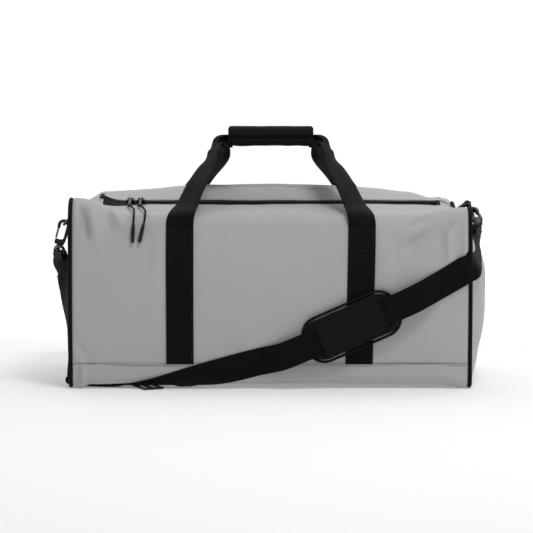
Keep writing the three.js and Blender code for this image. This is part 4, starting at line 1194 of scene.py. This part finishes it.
def handle_end(row, side, name, way):
    zs = np.linspace(SEAM_HEIGHT + 0.6, STITCH_TOP, 90)
    s = np.linspace(-1, 1, 13)
    outer = np.zeros((len(zs), len(s), 3))
    for i, z in enumerate(zs):
        for j, share in enumerate(s):
            x = handle_middle(way, z) + share * WEB_WIDTH / 2
            outer[i, j] = (x, SKIN.face_y(x, z, side) + side * (0.3 + WEB_THICK), z)
    for _ in range(3):
        outer[1:-1, :, 1] = (outer[:-2, :, 1] + 2 * outer[1:-1, :, 1] + outer[2:, :, 1]) / 4
    outer[..., 1] += side * (0.5 - 0.5 * np.abs(s) ** 10)[None, :]
    inner = outer.copy()
    inner[..., 1] -= side * (WEB_THICK + 0.2)
    places = np.stack(np.broadcast_arrays(s[None, :] * WEB_WIDTH / 2, zs[:, None]), -1)
    base_piece = shell(f"handle_base_{row}_{name}", outer, inner, WEBBING, cloth=places)
    finish_piece(base_piece, "bag", [f"handle_base_{row}_{name}"])

    def on_web(share, z):
        x = handle_middle(way, z) + share * WEB_WIDTH / 2
        y = float(np.interp(z, zs, outer[:, int(round((share + 1) * 6)), 1]))
        return [x, y + side * 0.08, z]

    box_low, box_high = STITCH_TOP - 34, STITCH_TOP - 2.5
    rows = [
        [on_web(-0.84, z) for z in np.linspace(SEAM_HEIGHT + 4, box_high, 40)],
        [on_web(0.84, z) for z in np.linspace(SEAM_HEIGHT + 4, box_high, 40)],
        [on_web(q, box_low) for q in np.linspace(-0.84, 0.84, 12)],
        [on_web(q, box_high) for q in np.linspace(-0.84, 0.84, 12)],
        [on_web(q, z) for q, z in zip(np.linspace(-0.84, 0.84, 20), np.linspace(box_low, box_high, 20))],
        [on_web(q, z) for q, z in zip(np.linspace(0.84, -0.84, 20), np.linspace(box_low, box_high, 20))],
    ]
    for i, line in enumerate(rows):
        label = f"handle_stitches_{row}_{name}_{i}"
        threads = stitches(label, line, (0, side, 0), "bag", pitch=3.2, length=2.3, radius=0.42)

    foot = handle_middle(way, STITCH_TOP)
    start = np.array([foot, side * abs(outer[-1, 6, 1]) - side * WEB_THICK / 2, STITCH_TOP - 1.2])
    end = np.array([GRIP_X + way * (GRIP_LENGTH / 2 - 6), side * 9, GRIP_MIDDLE - 7.5])
    last = [[74.5, 9.5, end[2] - 1.2]] if row == "front" else [[69, 9.5, end[2] - 2.5]]
    route = [[GRIP_X + way * x, side * y, z] for x, y, z in [*RISER_ROUTES[row], *last]]
    path = [
        start,
        start + [0, 0, 5],
        start + [-way * 2, -side * 4, 17],
        *route,
        end + [way * 6, 0, 0],
        end,
    ]
    t = np.linspace(0, 1, 120)
    line = through(path, t)
    angles = np.radians(RISER_TURNS[row])
    droop = [0, 0, 0, 0, -0.1, -0.3, -0.5, -0.55, -0.55, -0.55]
    widths = ramp(np.column_stack([-way * np.cos(angles), side * np.sin(angles), droop]), t)
    riser = ribbon(f"handle_riser_{row}_{name}", line, widths, WEBBING, cup=0.35)
    finish_piece(riser, None, [f"handle_riser_{row}_{name}"])
    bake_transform(riser, "bag", "grip", start=tuple(start * MM), end=tuple(end * MM))


for row_name, row_side in SIDES.items():
    for end_name, end_way in WAYS.items():
        handle_end(row_name, row_side, end_name, end_way)
    xs = np.linspace(GRIP_X - GRIP_LENGTH / 2, GRIP_X + GRIP_LENGTH / 2, 30)
    middle = GRIP_MIDDLE + TOP_FACE[row_name]
    line = np.column_stack([xs, 0 * xs, np.full(30, middle)])
    top = ribbon(f"handle_top_{row_name}", line, np.tile([0, 1.0, 0], (30, 1)), WEBBING)
    finish_piece(top, "grip", [f"handle_top_{row_name}"])


def grip_section(x, noise):
    """The padded grip across: a rolled upper edge that laps over a flat flap below."""
    share = np.clip(abs(x - GRIP_X) / (GRIP_LENGTH / 2), 0, 1)
    wave = noise(x)
    dip = 1.3 * math.sin(x / 13 + 1) + 0.9 * math.sin(x / 5.3)
    outline_points = [
        (-6, 14.4),
        (-15, 13.4),
        (-22, 9.5),
        (-24.6, 3.6),
        (-23.6, -0.6 + 0.4 * wave),
        (-20.6, -1.2 + 0.4 * wave),
        (-21.8, -3.4),
        (-22.6, -8),
        (-19.5, -12.4 + 0.5 * dip),
        (-12, -14.2 + 0.4 * dip),
        (0, -14.2),
        (13, -13.4),
        (21, -8.5),
        (23.2, 0),
        (20.5, 8.5),
        (13, 13),
        (4, 14.5),
        (-6, 14.4),
    ]
    points = through(outline_points, np.linspace(0, 1, 97))[:-1]
    size = (1 - 0.16 * smooth(share, 0.955, 1)) * (1 + 0.012 * wave)
    return np.column_stack([np.full(len(points), x), points[:, 0] * size, GRIP_MIDDLE + points[:, 1] * size])


def grip_noise(x):
    return math.sin(x / 9.0) * 0.6 + math.sin(x / 4.1 + 2) * 0.4


grip_xs = GRIP_X + np.concatenate([
    [-GRIP_LENGTH / 2],
    np.linspace(-GRIP_LENGTH / 2 + 0.6, GRIP_LENGTH / 2 - 0.6, 70),
    [GRIP_LENGTH / 2],
])
wrap = lofted("grip_wrap", np.array([grip_section(x, grip_noise) for x in grip_xs]), PAD_CLOTH)
finish_piece(wrap, "grip", ["grip_wrap"])
for level, inset in ((3.4, 0.2), (-11.2, 0.1)):
    xs = np.linspace(GRIP_X - GRIP_LENGTH / 2 + 4, GRIP_X + GRIP_LENGTH / 2 - 4, 60)
    probe = Surface(wrap)
    line = [[x, probe.face_y(x, GRIP_MIDDLE + level, -1), GRIP_MIDDLE + level] for x in xs]
    label = "grip_stitches_top" if level > 0 else "grip_stitches_low"
    sewn = stitches(label, line, (0, -1, 0), "grip", pitch=3.4, radius=0.38)

# ------------------------------------------------------------------ D-rings and clips
def vec(*values):
    return np.array(values, float)


ENDS = {
    "left": {
        "bar": vec(-287, 0, 238),
        "seam": vec(-284, 0, 245.5),
        "depth": unit(vec(-1, 0, -1)),
        "hook_angle": math.pi / 2,
        "toward": vec(-math.sin(0.26), 0, -math.cos(0.26)),
    },
    "right": {
        "bar": vec(290, 0, 254),
        "seam": vec(273.5, 0, 243.8),
        "depth": unit(vec(0.4, 0, -0.917)),
        "hook_angle": 2.56,
        "toward": unit(vec(0.2, -0.87, -0.45)),
    },
}
TAB_WIDTH = 2 * (RING_HALF_WIDTH - WIRE_RADIUS - 4.5)


def ring_bend(end, angle):
    side = vec(0, RING_HALF_WIDTH * math.cos(angle), 0)
    return end["bar"] + side + end["depth"] * RING_DEPTH * math.sin(angle)


def clip_frame(end, way):
    up = -end["toward"]
    inward = vec(-way, 0, 0)
    inward = unit(inward - up * (inward @ up))
    at = ring_bend(end, end["hook_angle"])
    return {"at": at, "inward": inward, "across": np.cross(up, inward), "up": up}


def matrix_of(frame_of):
    columns = [frame_of["inward"], frame_of["across"], frame_of["up"], frame_of["at"] * MM]
    matrix = Matrix.Identity(4)
    for j, column in enumerate(columns):
        for i in range(3):
            matrix[i][j] = float(column[i])
    return matrix


HOOK_OUTLINE = [
    (-6.5, -30), (6.5, -30), (8, -24), (9, -12),
    *arc(0, -1, 9, 0, math.pi),
    (-8.3, -7), (-4.4, -7),
    *arc(0, -1, 4.4, math.pi, 0),
    *arc(0, -17.9, 4.4, 0, -math.pi / 2, 8),
    (-7.2, -22.3), (-7.6, -26),
]
GATE_OUTLINE = [(-7.8, -21.4), (-5.4, -21.4), (-5.4, -7.4), (-7.8, -7.4)]


def rod(name, start, end, radius, material):
    line = np.linspace(np.asarray(start, float), np.asarray(end, float), 5)
    return tube(name, line, radius, material, sides=24)


SWIVEL = 33  # from the D-ring's wire to the swivel, down the hook
BASE_BAR = 43
BASE_UP = {"left": unit(vec(-0.2, 0, 0.98)), "right": unit(vec(0.32, 0.15, 0.94))}
BASE_TURN = {"left": -0.45, "right": 0.3}


def base_frame(clip, name, way):
    """The base that holds the strap, turned about its swivel."""
    pivot = clip["at"] - clip["up"] * SWIVEL
    up = BASE_UP[name]
    inward = vec(-way, 0, 0)
    inward = unit(inward - up * (inward @ up))
    across = np.cross(up, inward)
    c, s = math.cos(BASE_TURN[name]), math.sin(BASE_TURN[name])
    return {
        "at": pivot + up * SWIVEL,
        "inward": c * inward - s * across,
        "across": c * across + s * inward,
        "up": up,
    }


CLIPS = {}
for name, way in WAYS.items():
    end = ENDS[name]
    tail = unit(end["seam"] - end["bar"])
    lifted = vec(-tail[2], 0, tail[0])
    round_bar = [
        end["bar"] + 3.1 * (math.cos(a) * tail + math.sin(a) * lifted)
        for a in np.radians(np.linspace(60, 300, 13))
    ]
    loop = [
        end["seam"] + lifted * 0.9 + tail * 5,
        end["seam"] + lifted * 0.9,
        end["bar"] + tail * 4.6 + lifted * 1.9,
        *round_bar,
        end["bar"] + tail * 4.6 - lifted * 1.9,
        end["seam"] - lifted * 0.9,
        end["seam"] - lifted * 0.9 + tail * 5,
    ]
    loop = through(loop, np.linspace(0, 1, 90))
    tab = ribbon(f"tab_{name}", loop, np.tile([0, 1.0, 0], (90, 1)), WEBBING, wide=TAB_WIDTH)
    finish_piece(tab, "bag", [f"tab_{name}"])
    middle = end["bar"] + tail * 6
    stitched_half = TAB_WIDTH * 0.42
    for sign, label in ((-1, "down"), (1, "up")):
        face = middle + lifted * sign * 1.9
        sewn = [face + vec(0, y, 0) for y in np.linspace(-stitched_half, stitched_half, 12)]
        threads = stitches(f"tab_stitches_{name}_{label}", sewn, lifted * sign, "bag", radius=0.4)

    wire = [ring_bend(end, a) for a in np.linspace(0.05, math.pi - 0.05, 50)]
    straight = RING_HALF_WIDTH - 1.5
    wire += [end["bar"] + vec(0, y, 0) for y in np.linspace(-straight, straight, 24)]
    wire = evenly(np.vstack([wire, wire[:1]]), 110)[:-1]
    for _ in range(5):
        wire = (np.roll(wire, 1, 0) + 2 * wire + np.roll(wire, -1, 0)) / 4
    d_ring = tube(f"d_ring_{name}", wire, WIRE_RADIUS, METAL, sides=14, closed=True)
    finish_piece(d_ring, f"ring_{name}", [f"d_ring_{name}"])

    clip = clip_frame(end, way)
    holder = base_frame(clip, name, way)
    CLIPS[name] = holder
    body = extruded("body", HOOK_OUTLINE, CLIP_THICK, PLASTIC)
    shank = rod("shank", (0, 0, -29.5), (0, 0, -37), 2.5, PLASTIC)
    head = rod("head", (0, 0, -36.7), (0, 0, -38.5), 4, PLASTIC)
    hook = fused(f"hook_{name}", [body, shank, head], 0.42, PLASTIC, 5)
    placed(hook, matrix_of(clip))
    finish_piece(hook, f"hook_{name}", [f"hook_{name}"])
    leaf = extruded("leaf", GATE_OUTLINE, CLIP_THICK - 2, METAL)
    gate = fused(f"hook_gate_{name}", [leaf], 0.3, METAL, 2)
    placed(gate, matrix_of(clip))
    finish_piece(gate, f"gate_{name}", [f"hook_gate_{name}"])
    half_frame = WEB_WIDTH / 2 + 2.8
    side = half_frame - 1.6
    arch = through([
        (0, -side, -BASE_BAR), (0, -side, -39), (0, 4 - side, -35), (0, -7, -33.2),
        (0, 7, -33.2), (0, side - 4, -35), (0, side, -39), (0, side, -BASE_BAR),
    ], np.linspace(0, 1, 60))
    thick = 2.3 + 1.3 * smooth(-np.abs(arch[:, 1]), -12, -5)
    pieces = [tube("arch", arch, thick, PLASTIC, sides=20)]
    reach = half_frame - 0.5
    pieces.append(rod("bar", (0, -reach, -BASE_BAR), (0, reach, -BASE_BAR), BAR_RADIUS, PLASTIC))
    clip_base = fused(f"clip_base_{name}", pieces, 0.5, PLASTIC, 5)
    placed(clip_base, matrix_of(holder))
    finish_piece(clip_base, f"clip_{name}", [f"clip_base_{name}"])

# ------------------------------------------------------------------ the shoulder strap
STRAP_LINE = through([
    (278, 152.5), (240, 130), (205, 111.5), (185, 102), (160, 91), (28, 33.2), (10, 26.6),
    (-20, 19.3), (-75, 4.2), (-120, -9), (-170, -25), (-225, -43.5), (-277, -60),
], np.linspace(0, 1, 400))[::-1]
PAD_BACK = -FACE - 2.5 - SEWN_GAP - WEB_THICK - GAP
STRAP_OVER_PAD = PAD_BACK - PAD_THICK - GAP - WEB_THICK / 2


def strap_middle(x):
    return float(np.interp(x, STRAP_LINE[:, 0], STRAP_LINE[:, 1]))


def strap_low(x):
    """Height of the strap's middle on the floor: it rises over the adjuster."""
    over = smooth(x, -216, -203) * (1 - smooth(x, -140, -126))
    return WEB_THICK / 2 + 0.1 + over * (ADJUSTER_THICK + 1.5 * GAP)


def strap_point(x, q, layer):
    r = EDGE_RADIUS + STRAP_OUT
    quarter = r * math.pi / 2
    bottom = -FACE + EDGE_RADIUS
    if q >= 0:
        z = STRAP_EDGE_HEIGHT + q
        over = 1 - smooth(abs(x - PAD_PLACE), 88, 130)
        skin_y = SKIN.face_y(x, max(z, SEAM_HEIGHT + 1.5), -1) - STRAP_OUT
        return [x, lerp(skin_y, STRAP_OVER_PAD, over), z]
    if q > -quarter:
        angle = -q / r
        return [x, bottom - r * math.cos(angle), STRAP_EDGE_HEIGHT - r * math.sin(angle)]
    under = -q - quarter
    z = lerp(STRAP_EDGE_HEIGHT - r, strap_low(x), smooth(under, 0, 6)) + layer * LAYER_STEP
    return [x, bottom + under, z]


def strap_grid(x0, x1, count, layer, columns=14):
    rows = []
    for x in np.linspace(x0, x1, count):
        slope = (strap_middle(min(x + 1, 277.9)) - strap_middle(max(x - 1, -276.9))) / 2
        tilt = math.atan(slope)
        rows.append([
            strap_point(x - s * math.sin(tilt), strap_middle(x) + s * math.cos(tilt), layer)
            for s in np.linspace(-WEB_WIDTH / 2, WEB_WIDTH / 2, columns + 1)
        ])
    return np.array(rows)


def strap_piece(name, grid, replaced):
    for _ in range(4):
        grid[1:-1] = (grid[:-2] + 2 * grid[1:-1] + grid[2:]) / 4
    out = normals_of(grid, vec(0, 0, 60))
    s = np.linspace(-1, 1, grid.shape[1])
    half_thick = (1 - 0.4 * np.abs(s) ** 12)[None, :, None] * WEB_THICK / 2
    middle = grid[:, grid.shape[1] // 2]
    distance = np.concatenate([[0], np.cumsum(np.linalg.norm(np.diff(middle, axis=0), axis=1))])
    places = np.stack(np.broadcast_arrays(s[None, :] * WEB_WIDTH / 2, distance[:, None]), -1)
    strap = shell(name, grid + out * half_thick, grid - out * half_thick, WEBBING, cloth=places)
    finish_piece(strap, "bag", replaced)
    return grid


main_grid = strap_piece("strap_main", strap_grid(266, -268, 300, 0), ["strap_main"])
strap_piece("strap_return", strap_grid(-226, -268, 40, 1), ["strap_return"])


def strap_drop(name, path, widths, back_share):
    clip = CLIPS[name]
    bar = clip["at"] - clip["up"] * BASE_BAR
    turn_radius = BAR_RADIUS + 2 * GAP + WEB_THICK / 2
    start = bar - clip["inward"] * turn_radius
    points = [*path, *[start + clip["up"] * d for d in (-11, -6, 0)]]
    steps = 130
    t = np.linspace(0, 1, steps + 1)
    line = through(points, t)
    across = unit(ramp([*widths, clip["across"], clip["across"]], t))
    along = tangents(line)
    to_bag = unit(np.cross(across, along))
    sign = to_bag @ clip["inward"] + 0.4 * to_bag[:, 2] * smooth(0.3 - t, 0, 0.1)
    to_bag = to_bag * np.where(sign < 0, -1, 1)[:, None]
    inner = line + to_bag * lerp(LAYER_STEP, 2 * turn_radius, smooth(t, 0.6, 0.86))[:, None]
    turn = [
        bar - clip["inward"] * turn_radius * math.cos(a) + clip["up"] * turn_radius * math.sin(a)
        for a in np.linspace(0, math.pi, 22)[1:-1]
    ]
    kept = steps - int(round(steps * back_share))
    back = inner[kept:][::-1]
    whole = np.concatenate([line, turn, back])
    sides = np.concatenate([across, [clip["across"]] * len(turn), across[kept:][::-1]])
    drop = ribbon(f"strap_drop_{name}", whole, sides, WEBBING)
    finish_piece(drop, None, [f"strap_drop_{name}"])
    begin = line[0] if name == "right" else line[int(steps * 0.42)]
    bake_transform(drop, "bag", f"clip_{name}", start=tuple(begin * MM), end=tuple(line[int(steps * 0.9)] * MM))


left_start = main_grid[-3][7]
right_start = main_grid[2][7]
left_way, right_way = vec(-0.95, 0.31, 0), vec(0.86, 0, 0.5)
strap_drop("left", [
    left_start, left_start + left_way * 4, left_start + left_way * 12,
    vec(-285, left_start[1] + 7, 4.6),
    vec(-287.5, left_start[1] + 9, 14),
    vec(-287.5, -86, 47),
    vec(-289.5, -63, 84),
    vec(-295, -41, 115),
    vec(-298, -24, 138),
    vec(-303, -8, 160),
], [
    (0.31, 0.95, 0), (0.31, 0.95, 0), (0.2, 0.97, 0), (0, 0.97, 0), (-0.12, 0.98, -0.1),
    (-0.24, 0.95, -0.25), (-0.42, 0.85, -0.25), (-0.6, 0.76, -0.15), (-0.66, 0.72, 0),
], 1)
strap_drop("right", [
    right_start, right_start + right_way * 3, right_start + right_way * 11,
    vec(281.5, right_start[1] + 3, right_start[2] + 10),
    vec(286.5, right_start[1] + 13, right_start[2] + 18),
    vec(290, -120, 181),
    vec(293, -92, 190),
    vec(296, -66, 198),
], [
    (-0.5, 0, 0.86), (-0.5, 0, 0.86), (-0.5, -0.1, 0.85), (-0.48, -0.25, 0.83),
    (-0.45, -0.35, 0.82), (-0.42, -0.5, 0.7), (-0.36, -0.75, 0.4),
], 9 / 26)

frame_x, frame_y = ADJUSTER_LENGTH / 2, ADJUSTER_WIDTH / 2
bars = [
    block("bar", (x0, -frame_y + 1, 0), (x1, frame_y - 1, ADJUSTER_THICK), PLASTIC)
    for x0, x1 in ((-frame_x, 4 - frame_x), (-2.5, 2.5), (frame_x - 4, frame_x))
]
for s in (-1, 1):
    low, high = sorted((s * frame_y, s * (WEB_WIDTH / 2 + 1)))
    bars.append(block("side", (-frame_x, low, 0), (frame_x, high, ADJUSTER_THICK), PLASTIC))
adjuster = fused("strap_adjuster", bars, 0.45, PLASTIC, 4)
placed(adjuster, Matrix.Translation(Vector((-172, -137, 0.15)) * MM) @ Matrix.Rotation(0.42, 4, "Z"))
finish_piece(adjuster, "bag", ["strap_adjuster"])

# ------------------------------------------------------------------ the shoulder pad
pad_angle = math.atan(PAD_SLOPE)
PAD_AT = vec(PAD_PLACE, PAD_BACK, STRAP_EDGE_HEIGHT + strap_middle(PAD_PLACE))
PAD_ALONG = vec(math.cos(pad_angle), 0, math.sin(pad_angle))
PAD_ACROSS = vec(-math.sin(pad_angle), 0, math.cos(pad_angle))
PAD_OUT = vec(0, -1, 0)


def on_pad(u, v, w):
    """Places on the pad: along it, across it and out from its back."""
    u, v, w = (np.asarray(a, float)[..., None] for a in (u, v, w))
    return PAD_AT + u * PAD_ALONG + v * PAD_ACROSS + w * PAD_OUT


def rounded(length, width, corner, steps=14):
    x, y = length / 2 - corner, width / 2 - corner
    points = []
    for cx, cy, first in ((x, y, 0), (-x, y, 1), (-x, -y, 2), (x, -y, 3)):
        points += arc(cx, cy, corner, first * math.pi / 2, (first + 1) * math.pi / 2, steps)
    return np.array(points)


def puffed(obj, voxel, pressure, cap):
    """Swells a piece as stuffing does, by cloth simulation, and leaves a plain mesh."""
    applied(obj, ("REMESH", {"mode": "VOXEL", "voxel_size": voxel * MM}))
    before = np.array([v.co[:] for v in obj.data.vertices])
    cloth = obj.modifiers.new("cloth", "CLOTH")
    cloth.settings.use_pressure = True
    cloth.settings.uniform_pressure_force = pressure
    cloth.settings.effector_weights.gravity = 0
    cloth.settings.mass = 0.15
    scene = bpy.context.scene
    for frame_number in range(1, 21):
        scene.frame_set(frame_number)
    applied(obj)
    after = np.array([v.co[:] for v in obj.data.vertices])
    moved = after - before
    distance = np.linalg.norm(moved, axis=1, keepdims=True)
    moved *= np.minimum(1, cap * MM / np.maximum(distance, 1e-9))
    obj.data.vertices.foreach_set("co", (before + moved).ravel())
    scene.frame_set(1)
    return applied(
        obj,
        ("SMOOTH", {"factor": 0.5, "iterations": 3}),
        ("SUBSURF", {"levels": 1, "render_levels": 1}),
    )


in_pad = 2 * 2 + GAP - 1.4
rings = []
for w, shrink in (
    (0.8, 26), (0.8, 3.2), (1.6, 2.4),
    (PAD_THICK - 1.8, 2.4), (PAD_THICK - 1, 3.2), (PAD_THICK - 1, 26),
):
    corner = max(PAD_CORNER - in_pad - shrink, 1.5)
    margin = 2 * (in_pad + shrink - 2)
    flat = rounded(PAD_LENGTH - margin, PAD_WIDTH - margin, corner)
    rings.append(on_pad(flat[:, 0], flat[:, 1], np.full(len(flat), w)))
rings = np.array(rings)
pad_body = lofted("pad_body", rings, PAD_CLOTH)
puffed(pad_body, 3.6, 2.5, 1.4)
finish_piece(pad_body, "pad", ["pad_body"])
edge = rounded(PAD_LENGTH - 4, PAD_WIDTH - 4, PAD_CORNER - 2, 20)
edge = evenly(np.vstack([edge, edge[:1]]), 150)[:-1]
edge_line = on_pad(edge[:, 0], edge[:, 1], np.full(len(edge), PAD_THICK / 2))
binding = tube("pad_binding", edge_line, 2, TAPE, sides=12, closed=True)
finish_piece(binding, "pad", ["pad_binding"])
edge = rounded(PAD_LENGTH - 13, PAD_WIDTH - 13, PAD_CORNER - 6.5, 20)
edge = evenly(np.vstack([edge, edge[:1]]), 150)
pad_skin = Surface(pad_body)
seam_line = on_pad(edge[:, 0], edge[:, 1], 0 * edge[:, 0])
seam = np.array([pad_skin.hit(p + PAD_OUT * 30, -PAD_OUT) for p in seam_line])
stitches("pad_stitches", seam, PAD_OUT, "pad", pitch=3.4, radius=0.36)

u, v = np.meshgrid(
    np.linspace(-SLEEVE_LENGTH / 2, SLEEVE_LENGTH / 2, 60),
    np.linspace(-WEB_WIDTH / 2 - 3.6, WEB_WIDTH / 2 + 3.6, 31),
    indexing="ij",
)
over = 1 - smooth(np.abs(v), WEB_WIDTH / 2 - 1, WEB_WIDTH / 2 + 2.6)
height = PAD_THICK + 0.4 + over * (WEB_THICK + 2.2) + 0.25 * np.sin(u / 6.5) * over * np.cos(v / 9)
height = height + 0.5 * smooth(np.abs(u), SLEEVE_LENGTH / 2 - 5, SLEEVE_LENGTH / 2) * over
outer = on_pad(u, v, height + SLEEVE_THICK / 2)
inner = on_pad(u, v, height - SLEEVE_THICK / 2)
sleeve = shell("pad_sleeve", outer, inner, PAD_CLOTH)
finish_piece(sleeve, "pad", ["pad_sleeve"])
for label, at in (("low", -1), ("high", 1)):
    us = np.linspace(-SLEEVE_LENGTH / 2 + 1, SLEEVE_LENGTH / 2 - 1, 40)
    across = np.full(40, at * (WEB_WIDTH / 2 + 2.9))
    line = on_pad(us, across, np.full(40, PAD_THICK + 0.4 + SLEEVE_THICK / 2))
    row = stitches(f"sleeve_stitches_{label}", line, PAD_OUT, "pad", pitch=3.4, radius=0.36)

# ------------------------------------------------------------------ inside
LINING_X = PANEL_END - 4
BOARD_TOP = FRONT_LIFT + 2 + GAP + 3
LINING_SLACK = 6.5  # the lining hangs clear of the fabric's folds


def lining_row(x):
    inset = 2 + GAP + 0.5
    face = FACE - inset
    height = CREASE_HEIGHT - 18
    bottom = BOARD_TOP + GAP
    front_half = [
        (-face + 8, height), (-face + 2, height - 30), (-face, 150), (-face, 60),
        (-face + 1, bottom + 18), (-face + 8, bottom + 5), (-face + 18, bottom),
    ]
    path = [*front_half, (0, bottom), *[(-y, z) for y, z in reversed(front_half)]]
    dense = evenly(through(path, np.linspace(0, 1, 300)), 120)
    return np.column_stack([np.full(len(dense), x), dense])


grid = np.array([lining_row(x) for x in np.linspace(-LINING_X, LINING_X, 90)])
inward = -normals_of(grid, vec(0, 0, 120))
grid = grid + inward * (LINING_SLACK + ripples(grid, 90, 1.1, 31) + ripples(grid, 30, 0.35, 32))[..., None]
lining = shell("lining", grid, grid + inward * 0.8, LINING)
finish_piece(lining, "bag", ["lining"])
for name, way in WAYS.items():
    loop = lining_row(way * (LINING_X + GAP))
    centre = vec(way * (LINING_X + GAP), 0, 120)
    rings = []
    for share in np.linspace(0.05, 1, 24):
        points = centre + share * (loop - centre)
        points[:, 0] += way * (1 + ripples(points, 80, 1.0, 33) * (1 - share**8))
        rings.append(points)
    rings = np.array(rings)
    back = rings[::-1] + [way * 0.8, 0, 0]
    rings = np.concatenate([rings, back])
    end_lining = lofted(f"lining_end_{name}", rings, LINING, cloth=rings[..., 1:].reshape(-1, 2))
    finish_piece(end_lining, "bag", [f"lining_end_{name}"])

POCKET_Y = FACE - 2 - GAP - 0.5 - 1 - 4
us, vs = np.linspace(-1, 1, 71), np.linspace(0, 1, 31)
cells = np.array([
    [
        [u * 150, POCKET_Y - 2 - 6 * (1 - u**4) * float(smooth(v, 0, 0.3)), 60 + v * 130]
        for v in vs
    ]
    for u in us
])
net_faces = []
for i in range(70):
    for j in range(30):
        a = i * 31 + j
        net_faces.append((a, a + 31, a + 32, a + 1))
net = made("mesh_pocket", cells.reshape(-1, 3), net_faces, TAPE, cloth=cells[..., [0, 2]].reshape(-1, 2))
net = applied(net, ("WIREFRAME", {"thickness": 0.0009, "use_even_offset": False}))
finish_piece(net, "bag", ["mesh_pocket"])
hem = tube("pocket_elastic", cells[:, -1], 2.2, TAPE, sides=10)
finish_piece(hem, "bag")

board = bpy.data.objects["base_board"]
for mesh_slot in board.material_slots:
    mesh_slot.material = BOARD


# ------------------------------------------------------------------ floor and light
def area_light(name, at, target, size, watts, colour=(1, 1, 1)):
    data = bpy.data.lights.new(name, "AREA")
    data.shape = "RECTANGLE"
    data.size, data.size_y = size
    data.energy = watts
    data.color = colour
    light = bpy.data.objects.new(name, data)
    light.location = at
    light.rotation_euler = (Vector(target) - Vector(at)).to_track_quat("-Z", "Y").to_euler()
    bpy.context.scene.collection.objects.link(light)


# The floor glows although it is no lamp. Its emission is painted light: about 0.2 near the bag, rising to 0.7
# from 0.4 m to 1.5 m behind it, so the far floor shows white.
pale = bpy.data.materials.new("studio_floor")
pale.use_nodes = True
pale_shader = pale.node_tree.nodes["Principled BSDF"]
pale_shader.inputs["Base Color"].default_value = (0.84, 0.84, 0.84, 1)
pale_shader.inputs["Roughness"].default_value = 0.9
pale_shader.inputs["Specular IOR Level"].default_value = 0.1
pale_shader.inputs["Emission Color"].default_value = (1, 1, 1, 1)
nodes, links = pale.node_tree.nodes, pale.node_tree.links
place = nodes.new("ShaderNodeSeparateXYZ")
links.new(nodes.new("ShaderNodeTexCoord").outputs["Object"], place.inputs[0])
painted_floor_glow = nodes.new("ShaderNodeMapRange")
for socket, value in (("From Min", 0.4), ("From Max", 1.5), ("To Min", 0.2), ("To Max", 0.7)):
    painted_floor_glow.inputs[socket].default_value = value
links.new(place.outputs["Y"], painted_floor_glow.inputs["Value"])
links.new(painted_floor_glow.outputs["Result"], pale_shader.inputs["Emission Strength"])
floor_points = [(-9000, -9000, 0), (9000, -9000, 0), (9000, 1900, 0), (-9000, 1900, 0)]
floor = made("floor", floor_points, [(0, 1, 2, 3)], pale, smooth_faces=False)
floor.location.z = -0.0004

backdrop_light = bpy.data.materials.new("studio_backdrop")
backdrop_light.use_nodes = True
backdrop_shader = backdrop_light.node_tree.nodes["Principled BSDF"]
backdrop_shader.inputs["Base Color"].default_value = (0, 0, 0, 1)
backdrop_shader.inputs["Emission Color"].default_value = (1, 1, 1, 1)
backdrop_shader.inputs["Emission Strength"].default_value = 1.0
wall_points = [
    (-9000, 1900, -0.4), (9000, 1900, -0.4), (9000, 3700, -0.4),
    (-9000, 3700, -0.4), (9000, 3700, 3500), (-9000, 3700, 3500),
]
backdrop = made("backdrop", wall_points, [(0, 1, 2, 3), (3, 2, 4, 5)], backdrop_light, smooth_faces=False)

area_light("key", (0.45, -1.0, 1.9), (0.03, 0, 0.18), (0.6, 0.45), 15)
area_light("side", (2.3, -1.0, 0.7), (0.1, 0, 0.12), (0.8, 0.8), 4)
area_light("top", (0.1, 1.1, 2.6), (0, 0.5, 0), (3.2, 2.0), 26)
bpy.context.scene.view_settings.view_transform = "Standard"

world = bpy.data.worlds.new("studio")
world.use_nodes = True
world.node_tree.nodes["Background"].inputs["Color"].default_value = (1, 1, 1, 1)
world.node_tree.nodes["Background"].inputs["Strength"].default_value = 0.34
bpy.context.scene.world = world
